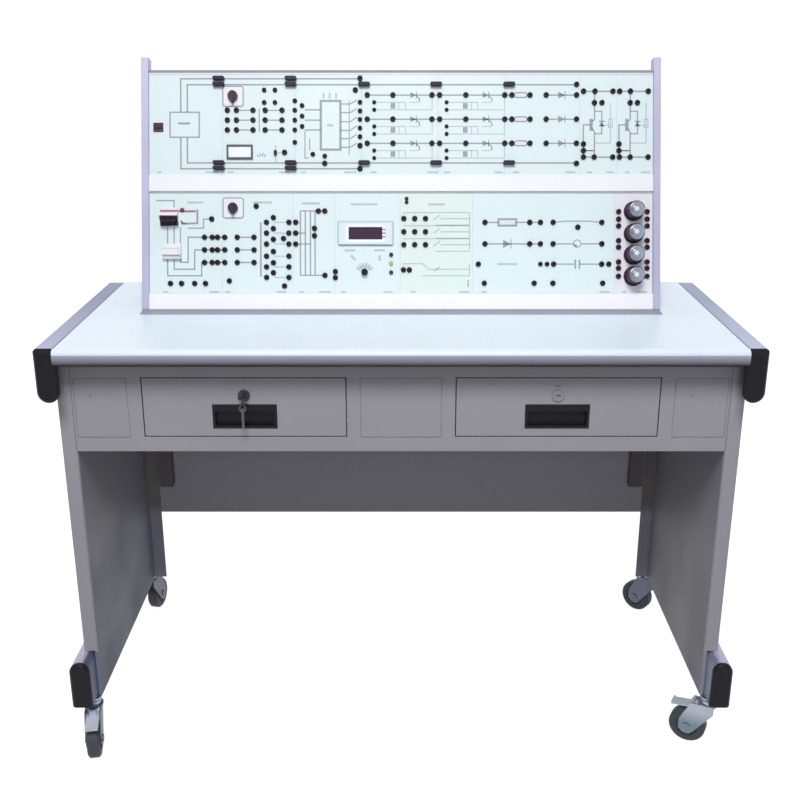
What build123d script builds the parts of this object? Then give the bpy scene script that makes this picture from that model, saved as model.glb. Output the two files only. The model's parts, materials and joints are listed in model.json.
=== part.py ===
"""Power electronics trainer: a wheeled steel bench with two drawers and a sloping console."""

import math
import os

from build123d import *

# Overall sizes, millimetres
bench_width = 1400.0
bench_height = 920.0
top_thickness = 30.0
top_depth = 580.0
top_front_overhang = 4.0
top_edge_radius = 12.0
top_lap = 5.5

# Extruded side rails, used upright under the top and upside down as feet
rail_width = 42.5
rail_height = 108.0
rail_wall = 3.0
rail_corner = 6.0
rail_inner_corner = 1.0
cap_thickness = 10.0
cap_edge = 4.5
cap_bevel = 8.0
cap_plug = 14.0
plug_clearance = 0.4
foot_length = 665.0
foot_bottom = 123.0

# Box legs
leg_front = 55.0
leg_step = 40.0
leg_thickness = 31.0
leg_wall = 2.0
leg_edge = 6.0
lip_width = 30.0
lip_inset = 20.0

# Apron, drawers and the steel case behind them
leg_inset = 50.0
apron_height = 198.0
apron_sheet = 1.5
apron_return = 20.0
drawer_open_width = 405.0
drawer_open_height = 125.0
drawer_rise = 31.0
drawer_post = 27.5
drawer_gap = 2.0
filler_centre_post = 26.5
filler_side_width = 106.0
filler_side_margin = 4.0
filler_rise = 29.0
filler_height = 126.0
filler_gap = 1.5
filler_recess = 0.3
filler_sheet = 1.2
filler_rim = 3.0
filler_stud_radius = 3.0
filler_stud_length = 2.0
filler_stud_rise = 91.0
filler_stud_offset = 20.0
front_pan_depth = 15.0
box_width = 376.0
box_height = 62.0
box_rise = 10.0
box_length = 430.0
box_sheet = 1.5
drawer_travel = 350.0
case_rear = 560.0
case_sheet = 2.0
runner_length = 420.0
runner_height = 34.0
runner_fixed = 6.0
runner_gap = 0.6
runner_lip = 5.0
runner_web = 2.0
runner_play = 0.5
runner_start = 5.0
runner_nose = 10.0
runner_tail = 15.0

# Flush pulls, cam locks and the key
pull_width = 128.0
pull_height = 50.0
pull_flange = 2.5
pull_lip = 4.0
pull_depth = 11.0
pull_wall = 1.5
pull_rise = 44.0
pull_gap = 0.2
pull_web = 1.6
pull_bevel = 1.0
pull_sink = 0.5
pull_grip = 10.0
lock_rise = 88.0
lock_radius = 9.0
lock_head_radius = 12.0
lock_head = 3.0
lock_length = 24.0
cam_length = 27.0
cam_width = 12.0
cam_thickness = 2.5
key_bow = 10.0
key_eye = 3.5
key_rim = 3.0
key_thickness = 2.2
key_blade = 5.0
key_stem = 6.0
key_entry = 0.8
key_root = 3.0
keyhole_width = 9.0
keyhole_height = 2.8
keyhole_depth = 2.4
ring_outer = 8.4
ring_inner = 7.0
ring_section = 1.4
ring_drop = 5.0
spare_bow = 8.0
spare_eye = 3.2
spare_rim = 1.8
spare_play = 0.5
spare_blade = 34.0
spare_root = 2.0
running_fit = 0.05
face_gap = 0.4
cut_past = 1.0
steep_edge = 0.9

# Modesty panel behind the knees
modesty_height = 575.0
modesty_drop = 5.0
modesty_sheet = 1.5
modesty_fold_rise = 147.0
modesty_hem = 12.0
bracket_inset = 39.0
bracket_width = 32.0
bracket_rise = 84.0
bracket_lap = 28.0
bracket_sheet = 3.0

# Swivel casters
caster_inset = 29.0
caster_front = 52.0
caster_rear = 618.0
wheel_radius = 40.0
wheel_width = 26.0
wheel_chamfer = 4.0
hub_radius = 24.0
hub_recess = 3.0
hub_boss_radius = 9.0
axle_radius = 5.0
axle_head_radius = 8.0
axle_head = 2.5
caster_trail = 40.0
fork_cheek = 3.0
fork_gap = 1.0
fork_crown_radius = 21.0
fork_crown_top = 105.0
fork_crown_sheet = 4.0
fork_heel = 15.0
fork_toe = 34.0
fork_end_half = 17.0
fork_end_flat = 7.0
fork_shoulder = 16.0
fork_sink = 1.0
kingpin_radius = 6.0
kingpin_nut_radius = 9.0
kingpin_nut = 6.0
kingpin_end = 2.0
stem_cup_radius = 17.0
stem_cup_height = 9.0
stem_plate_radius = 20.0
stem_plate = 4.0
pedal_reach = 78.0
pedal_sheet = 3.0
pedal_pin_y = 14.0
pedal_pin_z = 93.0
pedal_pin_radius = 3.5
pedal_tip_drop = 7.0
pedal_tab_y = 16.0
pedal_tab_width = 14.0
pedal_tab_height = 14.0
trail_front_left = -170.0
trail_front_right = 62.0
trail_rear_left = -10.0
trail_rear_right = 48.0

# Console: slope measured along the leaning front
console_foot = 289.0
console_half_width = 556.0
console_slope = 544.0
console_lean = 18.2
console_rear = 545.0
post_width = 16.0
post_depth = 28.0
side_sheet = 2.0
rear_top_drop = 24.0
cover_sheet = 1.5
cover_tuck = 2.0
post_bevel = 1.0
cover_flange = 12.0
top_rail_low = 508.0
top_rail_high = 518.0
middle_rail_low = 259.0
middle_rail_high = 293.0
bottom_rail_low = 6.0
bottom_rail_high = 40.0
rail_depth = 28.0
rail_front = 1.0
plinth_inset = 6.0
plinth_drop = 24.0
below_console = 80.0
vent_width = 60.0
vent_height = 6.0
vent_pitch_x = 90.0
vent_pitch_z = 18.0
vent_columns = 8
vent_rows = 5
vent_rise = 200.0

# Module panels on the console
module_thickness = 3.0
module_face = 4.0
module_gap = 0.6
module_reveal = 1.0
upper_bottom = 293.4
upper_top = 507.6
lower_bottom = 40.4
lower_top = 254.6
upper_joints = [-540.0, -383.0, -227.0, -84.0, 79.0, 222.0, 383.0, 462.0, 540.0]
lower_joints = [-540.0, -384.0, -232.0, -142.0, -2.0, 154.0, 458.0, 540.0]
board_thickness = 2.0
board_standoff = 22.0
board_margin = 30.0
pillar_inset = 10.0
pillar_radius = 4.0

# Sockets: seats, heights along the slope and x positions
socket_radius = 5.8
socket_height = 4.5
small_socket_radius = 3.8
small_socket_height = 3.0
socket_sides = 8
upper_phase_rows = [432.0, 411.0, 390.0]
upper_phase_x = [-372.0, -352.5, -317.0, -291.0, -255.0, -227.5]
module_rows = [464.5, 413.0, 361.5]
module_row_x = [-72.5, -17.5, 66.0, 82.5, 138.5, 222.0, 237.0, 276.0, 310.5, 375.5]
gate_x = [-57.5, 97.5]
gate_drops = [15.5, 31.5]
pulse_x = -88.0
pulse_rows = [500.0, 449.0, 430.5, 412.5, 394.0, 375.5, 356.5, 307.0]
upper_loose = [
    (-293.0, 475.0), (-270.0, 475.0), (-293.0, 448.5), (-270.0, 448.5),
    (-227.5, 452.0), (-227.5, 363.5), (-249.5, 342.0), (-163.5, 334.0),
    (-212.0, 442.0), (-212.0, 419.5), (-212.0, 397.5), (-189.0, 338.0),
    (-163.5, 318.5), (-98.0, 475.0), (375.5, 487.0), (375.5, 318.5),
]
bridge_top_row = 472.5
bridge_top_x = [390.5, 415.0, 453.5, 467.8, 490.8, 529.0]
bridge_gate_row = 448.0
bridge_gate_x = [413.7, 430.0, 490.3, 506.0]
bridge_bottom_row = 332.0
bridge_bottom_x = [390.5, 413.5, 453.3, 467.6, 490.6, 529.0]
bridge_side_rows = [359.8, 345.8]
bridge_side_x = [390.5, 466.5]
lower_phase_rows = [160.5, 133.5, 106.5]
lower_phase_x = [-421.5, -405.0, -393.5, -378.0, -351.3, -315.3]
tap_columns = [
    (-288.5, [192.5, 169.5, 146.0, 120.0, 97.0, 74.5]),
    (-273.8, [202.5, 179.0, 156.0, 130.0, 106.0, 84.5]),
    (-240.5, [192.5, 169.5, 146.0, 120.0, 97.0, 74.5]),
    (-225.9, [192.5, 169.5, 146.0]),
]
fuse_row = 61.5
fuse_x = [-494.7, -471.0, -442.8, -419.5]
lower_loose = [
    (-406.0, 199.5), (-310.5, 227.0), (-252.0, 157.8), (-250.0, 56.0),
    (-368.4, 67.0), (-185.7, 179.5), (-185.7, 163.8), (-177.2, 216.7),
    (-163.5, 216.7), (-163.3, 79.0), (5.2, 90.6), (17.8, 90.6),
    (178.5, 62.0), (285.5, 62.0), (325.7, 62.0), (432.5, 62.0),
    (165.7, 103.0), (378.8, 182.0), (313.0, 103.0), (445.5, 103.0),
]
pair_x = -141.0
pair_rows = [87.0, 74.0]
relay_rows = [200.5, 172.3, 144.5]
relay_x = [5.9, 29.2, 52.3]
load_rows = [192.4, 146.4]
load_x = [179.8, 275.8, 298.8, 325.9, 430.3]
branch_row = 103.0
branch_x = [298.8, 327.1, 430.2]
rheostat_socket_x = [466.3, 527.5]
rheostat_socket_rows = [215.2, 199.4, 184.7, 153.3, 139.1, 107.7, 94.2, 76.9]

# Rotary switches, rheostats and the other controls
plate_width = 40.0
plate_height = 40.0
plate_thickness = 1.5
plate_corner = 4.0
switch_x = -360.0
switch_rows = [461.5, 223.0]
switch_radius = 10.5
switch_height = 14.0
switch_bar_width = 6.0
switch_bar_reach = 14.0
switch_bar_step = 1.0
switch_disc = 8.4
rheostat_x = 498.5
rheostat_rows = [216.0, 168.0, 122.5, 77.0]
rheostat_radius = 21.0
rheostat_cap_radius = 18.0
rheostat_height = 34.0
rheostat_skirt = 4.0
rheostat_cap_sides = 14
rheostat_body_radius = 21.0
rheostat_body_depth = 30.0
dial_x = -78.2
dial_row = 85.6
dial_radius = 7.0
dial_height = 12.0
dial_rib = 2.0
dial_rib_back = 1.4
dial_rib_reach = 6.3
slider_x = -269.0
slider_row = 341.0
slider_width = 6.0
slider_length = 9.0
slider_height = 8.0
slider_travel = 12.0
rocker_x = -520.0
rocker_row = 395.5
rocker_width = 21.0
rocker_height = 19.0
rocker_bezel = 2.5
rocker_bezel_thickness = 2.0
rocker_rise = 5.0
rocker_bottom = 1.2
rocker_dip = 2.0
rocker_foot = 1.0
rocker_edge = 0.6
rocker_valley = 2.0
breaker_x = -496.0
breaker_low = 184.0
breaker_high = 222.0
breaker_width = 38.0
breaker_depth = 9.0
breaker_nose_radius = 9.0
toggle_width = 7.5
toggle_pitch = 12.0
toggle_length = 10.0
toggle_thickness = 4.0
toggle_bar = 3.0
toggle_tilt = 35.0
toggle_gap = 0.5
contactor_x = -490.3
contactor_low = 113.5
contactor_high = 146.0
contactor_width = 40.0
contactor_depth = 16.0
contactor_step = 8.0
contactor_step_depth = 6.0
meter_x = -76.2
meter_row = 168.2
meter_width = 113.5
meter_height = 46.5
meter_depth = 7.0
meter_window_width = 72.0
meter_window_height = 26.5
meter_window_depth = 3.0
screen_x = -345.6
screen_row = 342.7
screen_width = 56.0
screen_height = 31.0
screen_frame = 4.0
screen_depth = 4.0
screen_window_depth = 2.0
lamp_x = -21.3
lamp_rows = [123.0, 104.5, 85.0]
lamp_radius = 4.5
lamp_height = 5.0
lamp_bevel = 1.0
cover_screw_radius = 4.0
cover_screw_height = 2.0
cover_screw_rises = [40.0, 200.0, 360.0, 465.0]

# Link plugs that bridge neighbouring module panels
link_length = 25.0
link_width = 8.0
link_height = 11.0
link_corner = 2.5
link_pair_x = [-390.0, -236.0]
link_pair_rows = [499.0, 486.6, 319.5, 307.5]
link_single_x = [-79.0, 75.0, 231.0]
link_single_rows = [486.6, 319.3]

# Derived positions
middle_depth = (caster_front + caster_rear) / 2.0
half_width = bench_width / 2.0
rail_inner = half_width - rail_width
rail_bottom = bench_height - rail_height
top_under = bench_height - top_thickness
leg_inner = half_width - leg_inset
leg_outer = leg_inner + leg_thickness
foot_top = foot_bottom + rail_height
head_top = top_under - rail_wall
head_rear = top_depth - cap_thickness
leg_rear = head_rear + leg_step
lip_depth = leg_rear - lip_inset
caster_x = half_width - caster_inset
apron_bottom = top_under - apron_height
drawer_bottom = apron_bottom + drawer_rise
filler_bottom = apron_bottom + filler_rise
filler_side_centre = leg_inner - filler_side_margin - filler_side_width / 2.0
drawer_outer = filler_side_centre - filler_side_width / 2.0 - drawer_post
drawer_centre = drawer_outer - drawer_open_width / 2.0
filler_centre_width = 2.0 * (drawer_outer - drawer_open_width - filler_centre_post)
box_floor = drawer_bottom + box_rise
runner_centre = box_floor + box_height / 2.0
pull_centre = drawer_bottom + pull_rise
lock_centre = drawer_bottom + lock_rise
modesty_top = top_under - modesty_drop
modesty_bottom = modesty_top - modesty_height
modesty_fold = modesty_bottom + modesty_fold_rise
bracket_outer = leg_inner - bracket_inset
bracket_inner = bracket_outer - bracket_width
bracket_bottom = modesty_bottom + bracket_rise
bracket_top = apron_bottom + bracket_lap
vent_base = bench_height + vent_rise
lean = math.radians(console_lean)


def y_at(depth):
    """Turn a depth behind the front edge into the shared frame."""
    return depth - middle_depth


def block(x0, x1, depth0, depth1, z0, z1):
    """A box between two x, two depth and two height values."""
    middle = Pos((x0 + x1) / 2.0, y_at((depth0 + depth1) / 2.0), (z0 + z1) / 2.0)
    return middle * Box(abs(x1 - x0), depth1 - depth0, z1 - z0)


def mirrored(x0, x1, side):
    """Order an x pair for the left (-1) or the right (1) side."""
    return (x0, x1) if side > 0 else (-x1, -x0)


def side_block(side, x0, x1, depth0, depth1, z0, z1):
    """A block on one side, given by its distances from the middle."""
    low, high = mirrored(x0, x1, side)
    return block(low, high, depth0, depth1, z0, z1)


front_plane = Plane(
    origin=(0, y_at(console_foot), bench_height),
    x_dir=(1, 0, 0),
    z_dir=(0, -math.cos(lean), math.sin(lean)),
)


def on_console(x, slope, out):
    """A place on the leaning front: x, height along the slope, distance outward."""
    return front_plane.location * Pos(x, slope, out)


def console_block(x0, x1, slope0, slope1, out0, out1):
    """A box in the frame of the leaning front."""
    middle = on_console((x0 + x1) / 2.0, (slope0 + slope1) / 2.0, (out0 + out1) / 2.0)
    return middle * Box(x1 - x0, slope1 - slope0, out1 - out0)


def console_disc(x, slope, out0, out1, radius):
    """A cylinder standing on the leaning front."""
    return on_console(x, slope, (out0 + out1) / 2.0) * Cylinder(radius, out1 - out0)


def rail_outline(inset):
    """Rail section seen from the front: square top, straight sides, round bottom."""
    half = rail_width / 2.0 - inset
    top = rail_height / 2.0 - inset
    turn = (rail_width - rail_height) / 2.0
    with BuildSketch() as section:
        with BuildLine():
            Polyline((-half, turn), (-half, top), (half, top), (half, turn))
            ThreePointArc((half, turn), (0.0, turn - half), (-half, turn))
        make_face()
        corners = section.vertices().sort_by(Axis.Y)[-2:]
        fillet(corners, max(rail_corner - inset, rail_inner_corner))
    return section.sketch


def rail_solid(length):
    """A hollow rail of the given length along +Z, before it is turned."""
    return extrude(rail_outline(0.0) - rail_outline(rail_wall), length)


def lay_rail(shape, x, depth, middle_z, upside_down):
    """Turn a section extruded along +Z so that it runs from front to rear."""
    turn = Rot(0, 180, 0) if upside_down else Rot(0, 0, 0)
    return Pos(x, y_at(depth), middle_z) * turn * Rot(90, 0, 0) * shape


def rail_between(side, front, rear, upside_down):
    """One rail from a front depth to a rear depth."""
    x = side * (half_width - rail_width / 2.0)
    base = foot_bottom if upside_down else rail_bottom
    body = rail_solid(rear - front)
    return lay_rail(body, x, rear, base + rail_height / 2.0, upside_down)


def make_side_rail(side):
    """Table rail: a notch takes the edge of the top, the open inner side takes the leg."""
    body = rail_between(side, cap_thickness, top_depth - cap_thickness, False)
    body -= side_block(side, rail_inner - cut_past, leg_outer, 0, top_depth, rail_bottom - cut_past,
                       head_top)
    lap = side_block(side, rail_inner - cut_past, rail_inner + top_lap, 0, top_depth,
                     top_under, bench_height + cut_past)
    ledge = side_block(side, rail_inner, rail_inner + top_lap + rail_wall, cap_thickness,
                       top_depth - cap_thickness, top_under - rail_wall, top_under)
    web = side_block(side, rail_inner + top_lap, rail_inner + top_lap + rail_wall,
                     cap_thickness, top_depth - cap_thickness, top_under, bench_height - rail_wall)
    return body - lap + ledge + web


def make_foot_rail(side):
    """Foot rail: the same section turned over."""
    return rail_between(side, cap_thickness, foot_length - cap_thickness, True)


def plug_span(side, upside_down):
    """Middle and width of a cap's plug, measured from the middle of its rail."""
    inside = rail_wall + plug_clearance
    if upside_down:
        return 0.0, rail_width - 2.0 * inside
    near = leg_outer + plug_clearance
    far = half_width - inside
    return side * ((near + far) / 2.0 - half_width + rail_width / 2.0), far - near


def make_cap(side, front, rear_end, upside_down):
    """Moulded end cap with a bevelled rim and a plug inside the rail."""
    x = side * (half_width - rail_width / 2.0)
    base = foot_bottom if upside_down else rail_bottom
    plate = extrude(rail_outline(0.0), cap_thickness)
    outer = plate.faces().sort_by(Axis.Z)[0 if rear_end else -1]
    plate = chamfer(outer.edges(), cap_edge)
    low = -rail_height / 2.0 + rail_width / 2.0
    high = rail_height / 2.0 - top_thickness - rail_wall - plug_clearance
    middle, width = plug_span(side, upside_down)
    plug = Box(width, high - low, cap_plug)
    shift = cap_thickness + cap_plug / 2.0 if rear_end else -cap_plug / 2.0
    plug = Pos(middle, (high + low) / 2.0, shift) * plug
    depth = front + cap_thickness
    cap = lay_rail(plate + plug, x, depth, base + rail_height / 2.0, upside_down)
    if not upside_down:
        cap = cap - side_block(side, rail_inner - cut_past, rail_inner + top_lap, -cap_thickness,
                               top_depth + cap_thickness,
                               top_under, bench_height + cut_past)
        corner = cap_bevel * math.sqrt(2.0)
        outside = top_depth if rear_end else 0.0
        place = Pos(x, y_at(outside), bench_height) * Rot(45, 0, 0)
        cap = cap - place * Box(2.0 * rail_width, corner, corner)
    return cap


def make_caps():
    """All eight end caps: two per rail."""
    caps = []
    for side in (-1, 1):
        caps.append(make_cap(side, 0.0, False, False))
        caps.append(make_cap(side, top_depth - cap_thickness, True, False))
        caps.append(make_cap(side, 0.0, False, True))
        caps.append(make_cap(side, foot_length - cap_thickness, True, True))
    return Compound(children=[cap.solids()[0] for cap in caps])


def make_tabletop():
    """Laminated board with a rounded front edge; the free worktop is a face of its own."""
    reach = rail_inner + top_lap
    outline = [(-top_front_overhang, bench_height), (console_foot, bench_height),
               (top_depth, bench_height), (top_depth, top_under),
               (-top_front_overhang, top_under)]
    corners = [(-reach, y_at(depth), height) for depth, height in outline]
    profile = Face(Wire(Polyline(corners, close=True).edges()))
    board = Solid.extrude(profile, Vector(2.0 * reach, 0, 0))
    nose = board.edges().filter_by(Axis.X).sort_by(Axis.Y)[:2]
    return fillet(nose, top_edge_radius)


def make_leg(side):
    """Folded steel leg: box section up into the rail, inner skirt and a rear lip."""
    wall = leg_wall
    outer = side_block(side, leg_inner, leg_outer, leg_front, head_rear, foot_top, head_top)
    edges = outer.edges().filter_by(Axis.Z).sort_by(Axis.Y)[:2]
    outer = fillet(edges, leg_edge)
    outer += side_block(side, leg_inner, leg_outer, head_rear, leg_rear, foot_top, rail_bottom)
    inner = side_block(side, leg_inner + wall, leg_outer - wall, leg_front + wall,
                       head_rear - wall, foot_top - cut_past, head_top + cut_past)
    inner += side_block(side, leg_inner + wall, leg_outer - wall, head_rear - 2.0 * wall,
                        leg_rear - wall, foot_top - cut_past, rail_bottom - wall)
    skirt_low = side_block(side, leg_inner, rail_inner, leg_front, leg_rear, foot_bottom, foot_top)
    skirt_high = side_block(side, leg_inner, rail_inner, leg_front, head_rear, head_top - wall,
                            top_under)
    lip = side_block(side, leg_inner - lip_width, leg_inner, lip_depth,
                     lip_depth + wall, foot_bottom, top_under)
    return outer - inner + skirt_low + skirt_high + lip


def make_apron():
    """Sheet-steel apron with five openings and a folded lower edge."""
    sheet = apron_sheet
    face = block(-leg_inner, leg_inner, leg_front, leg_front + sheet, apron_bottom, top_under)
    fold = block(-leg_inner, leg_inner, leg_front, leg_front + apron_return, apron_bottom,
                 apron_bottom + sheet)
    hem = block(-leg_inner, leg_inner, leg_front, leg_front + apron_return, top_under - sheet,
                top_under)
    body = face + fold + hem
    for side in (-1, 1):
        centre = side * drawer_centre
        body -= opening(centre, drawer_open_width, drawer_bottom, drawer_open_height)
        body -= opening(side * filler_side_centre, filler_side_width, filler_bottom, filler_height)
    body -= opening(0.0, filler_centre_width, filler_bottom, filler_height)
    return body


def opening(centre, width, low, height):
    """A rectangular cutter through the apron."""
    return block(centre - width / 2.0, centre + width / 2.0, leg_front - cut_past,
                 leg_front + apron_sheet + cut_past, low, low + height)


def filler_layer(centre, width, grow, front, back):
    """One layer of a blank panel, wider than its opening by grow on each side."""
    reach = width / 2.0 + grow
    return block(centre - reach, centre + reach, front, back, filler_bottom - grow,
                 filler_bottom + filler_height + grow)


def make_filler(centre, width, studs):
    """Pressed blank panel in its opening, with a wider rim behind the apron."""
    front = leg_front + filler_recess
    seat = leg_front + apron_sheet
    back = seat + filler_sheet
    pan = filler_layer(centre, width, -filler_gap, front, back)
    rim = filler_layer(centre, width, filler_rim, seat, back)
    hollow = filler_layer(centre, width, -filler_gap - filler_sheet, front + filler_sheet,
                          back + cut_past)
    body = pan + rim - hollow
    for x in studs:
        place = Pos(x, y_at(front), filler_bottom + filler_stud_rise)
        body += place * Rot(90, 0, 0) * Cylinder(filler_stud_radius, filler_stud_length)
    return body


def make_fillers():
    """Three blank panels of the apron."""
    panels = [
        make_filler(-filler_side_centre, filler_side_width,
                    [-filler_side_centre - filler_stud_offset]),
        make_filler(0.0, filler_centre_width, []),
        make_filler(filler_side_centre, filler_side_width,
                    [filler_side_centre - filler_stud_offset]),
    ]
    return Compound(children=[panel.solids()[0] for panel in panels])


def divider_positions():
    """Inner faces of the walls beside each drawer."""
    half = box_width / 2.0 + runner_fixed + runner_gap + runner_moving()
    return drawer_centre - half, drawer_centre + half


def runner_moving():
    """Thickness of the moving runner, from the drawer box to the gap."""
    return runner_fixed + runner_web


def make_case():
    """Floor, walls and back of the drawer compartment, one welded piece."""
    front = leg_front + apron_return
    floor_top = apron_bottom + apron_sheet + case_sheet
    body = block(-leg_inner, leg_inner, leg_front + apron_sheet, case_rear,
                 apron_bottom + apron_sheet, floor_top)
    body += block(-leg_inner, leg_inner, case_rear - case_sheet, case_rear, floor_top, top_under)
    near, far = divider_positions()
    for side in (-1, 1):
        body += side_block(side, near - case_sheet, near, front, case_rear, floor_top, top_under)
        body += side_block(side, far, far + case_sheet, front, case_rear, floor_top, top_under)
    return body


def make_fixed_runners():
    """The four channel members screwed to the compartment walls."""
    near, far = divider_positions()
    low = runner_centre - runner_height / 2.0
    front = leg_front + apron_return + runner_start
    members = []
    for side in (-1, 1):
        for wall, inward in ((near, 1), (far, -1)):
            edge = wall + inward * runner_fixed
            x0, x1 = min(wall, edge), max(wall, edge)
            bar = side_block(side, x0, x1, front, front + runner_length, low, low + runner_height)
            web = wall + inward * runner_web
            cut0, cut1 = (web, edge + cut_past) if inward > 0 else (edge - cut_past, web)
            groove = side_block(side, cut0, cut1, front - cut_past, front + runner_length + cut_past,
                                low + runner_lip, low + runner_height - runner_lip)
            members.append((bar - groove).solids()[0])
    return Compound(children=members)


def make_drawer(side):
    """Drawer front pan, open box and the two moving runners."""
    centre = side * drawer_centre
    half = drawer_open_width / 2.0 - drawer_gap
    low = drawer_bottom + drawer_gap
    high = drawer_bottom + drawer_open_height - drawer_gap
    sheet = box_sheet
    back = leg_front + front_pan_depth
    pan = block(centre - half, centre + half, leg_front, back, low, high)
    pan -= block(centre - half + sheet, centre + half - sheet, leg_front + sheet, back + cut_past,
                 low + sheet, high - sheet)
    box_half = box_width / 2.0
    body = block(centre - box_half, centre + box_half, back - sheet, back + box_length,
                 box_floor, box_floor + box_height)
    body -= block(centre - box_half + sheet, centre + box_half - sheet, back,
                  back + box_length - sheet, box_floor + sheet, box_floor + box_height + cut_past)
    ears = block(centre - half + sheet / 2.0, centre + half - sheet / 2.0, back - sheet, back,
                 low + sheet / 2.0, box_floor + box_height)
    tongue = runner_height / 2.0 - runner_lip - runner_play
    runner_low = runner_centre - tongue
    runner_high = runner_centre + tongue
    thick = runner_moving() + runner_gap + runner_fixed - runner_web - runner_play
    for edge in (-1, 1):
        x0 = centre + edge * box_half
        x1 = x0 + edge * thick
        body += block(min(x0, x1), max(x0, x1), back + runner_nose,
                      back + box_length - runner_tail, runner_low, runner_high)
    body = pan + ears + body
    body -= pull_cutter(centre)
    place = Pos(centre, y_at(leg_front), lock_centre) * Rot(90, 0, 0)
    return body - place * Cylinder(lock_radius + running_fit, 2.0 * front_pan_depth)


def pull_cutter(centre):
    """Hole in the drawer front for the tub of the flush pull."""
    half = pull_width / 2.0 - pull_lip + pull_gap
    tall = pull_height / 2.0 - pull_lip + pull_gap
    return block(centre - half, centre + half, leg_front - cut_past, leg_front + front_pan_depth - pull_web,
                 pull_centre - tall, pull_centre + tall)


def make_pull(side):
    """Moulded flush pull: flange, hollow tub and an upper finger lip."""
    centre = side * drawer_centre
    half = pull_width / 2.0
    tall = pull_height / 2.0
    flange = block(centre - half, centre + half, leg_front - pull_flange, leg_front,
                   pull_centre - tall, pull_centre + tall)
    rim = flange.faces().sort_by(Axis.Y)[0].edges()
    flange = chamfer(rim, pull_bevel)
    tub_half = half - pull_lip
    tub_tall = tall - pull_lip
    tub = block(centre - tub_half, centre + tub_half, leg_front, leg_front + pull_depth,
                pull_centre - tub_tall, pull_centre + tub_tall)
    wall = pull_wall
    hollow = block(centre - tub_half + wall, centre + tub_half - wall, leg_front - pull_flange - cut_past,
                   leg_front + pull_depth - wall, pull_centre - tub_tall + wall,
                   pull_centre + tub_tall - wall)
    lip = block(centre - tub_half, centre + tub_half, leg_front - pull_flange, leg_front + pull_sink,
                pull_centre + tub_tall - pull_grip, pull_centre + tub_tall)
    return flange + tub - hollow + lip


def make_lock(side):
    """Cam lock: head, barrel through the front and the cam behind it."""
    place = Pos(side * drawer_centre, y_at(leg_front), lock_centre) * Rot(90, 0, 0)
    barrel = Pos(0, 0, -lock_length / 2.0) * Cylinder(lock_radius, lock_length)
    head = Pos(0, 0, face_gap + lock_head / 2.0) * Cylinder(lock_head_radius, lock_head)
    neck = Pos(0, 0, face_gap / 2.0) * Cylinder(lock_radius, face_gap)
    slot = Pos(0, 0, face_gap + lock_head) * Box(keyhole_width, keyhole_height, keyhole_depth)
    cam = Pos(cam_length / 2.0, 0, -lock_length - cam_thickness / 2.0)
    cam = cam * Box(cam_length + cam_width, cam_width, cam_thickness)
    return place * (barrel + head + neck + cam - slot)


def make_key():
    """Key in the left lock, its ring and the spare key that hangs from it."""
    x = -drawer_centre
    face = leg_front - face_gap - lock_head
    stem = block(x - key_blade / 2.0, x + key_blade / 2.0, face - key_stem - key_root,
                 face + key_entry, lock_centre - key_thickness / 2.0,
                 lock_centre + key_thickness / 2.0)
    bow_depth = face - key_stem - key_bow
    bow = Pos(x, y_at(bow_depth), lock_centre) * Cylinder(key_bow, key_thickness)
    eye = Pos(x, y_at(bow_depth - key_eye), lock_centre) * Cylinder(key_eye, key_thickness + cut_past)
    key = stem + bow - eye
    ring_depth = bow_depth - key_bow + key_rim / 2.0
    ring_height = lock_centre - ring_drop
    ring = Cylinder(ring_outer, ring_section) - Cylinder(ring_inner, ring_section + cut_past)
    ring = Pos(x, y_at(ring_depth), ring_height) * Rot(0, 90, 0) * ring
    spare = make_spare(x, ring_depth, ring_height - ring_inner)
    return Compound(children=[key.solids()[0], ring.solids()[0], spare.solids()[0]])


def make_spare(x, depth, rest):
    """The hanging spare: round bow with an eye and a straight blade."""
    eye_height = rest + spare_play - spare_eye
    bow_height = eye_height - spare_bow + spare_eye + spare_rim
    disc = Cylinder(spare_bow, key_thickness)
    hole = Cylinder(spare_eye, key_thickness + cut_past)
    bow = Pos(x, y_at(depth), bow_height) * Rot(90, 0, 0) * disc
    eye = Pos(x, y_at(depth), eye_height) * Rot(90, 0, 0) * hole
    half = key_thickness / 2.0
    blade = block(x - key_blade / 2.0, x + key_blade / 2.0, depth - half, depth + half,
                  bow_height - spare_bow - spare_blade, bow_height - spare_bow + spare_root)
    return bow + blade - eye


def make_case_screws():
    """Screws of the console's rear cover."""
    screws = []
    for side in (-1, 1):
        for rise in cover_screw_rises:
            height = bench_height + rise
            place = Pos(side * (console_half_width - post_width), y_at(console_rear), height)
            turned = place * Rot(-90, 0, 0) * Pos(0, 0, cover_screw_height / 2.0)
            screws.append((turned * Cylinder(cover_screw_radius, cover_screw_height)).solids()[0])
    return Compound(children=screws)


def make_modesty():
    """Rear panel: hemmed sheet, thicker above the fold, with two box brackets."""
    front = lip_depth + leg_wall
    back = front + modesty_sheet
    reach = leg_inner
    clear = leg_inner - lip_width
    body = block(-reach, reach, front, back, modesty_bottom, modesty_top)
    body += block(-reach, reach, front, back + modesty_hem, modesty_bottom,
                  modesty_bottom + modesty_sheet)
    body += block(-clear, clear, front - modesty_sheet, front, modesty_fold, modesty_top)
    for side in (-1, 1):
        outer = side_block(side, bracket_inner, bracket_outer, case_rear, front - modesty_sheet,
                           bracket_bottom, bracket_top)
        inner = side_block(side, bracket_inner + bracket_sheet, bracket_outer - bracket_sheet,
                           case_rear + bracket_sheet, front, bracket_bottom - cut_past,
                           bracket_top + cut_past)
        body += outer - inner
        body += side_block(side, bracket_inner, bracket_outer, front - modesty_sheet, front,
                           bracket_bottom, modesty_fold)
    return body


def caster_place(side, depth, turn):
    """The kingpin axis of one caster, turned to its trailing direction."""
    return Pos(side * caster_x, y_at(depth), 0) * Rot(0, 0, turn)


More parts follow.
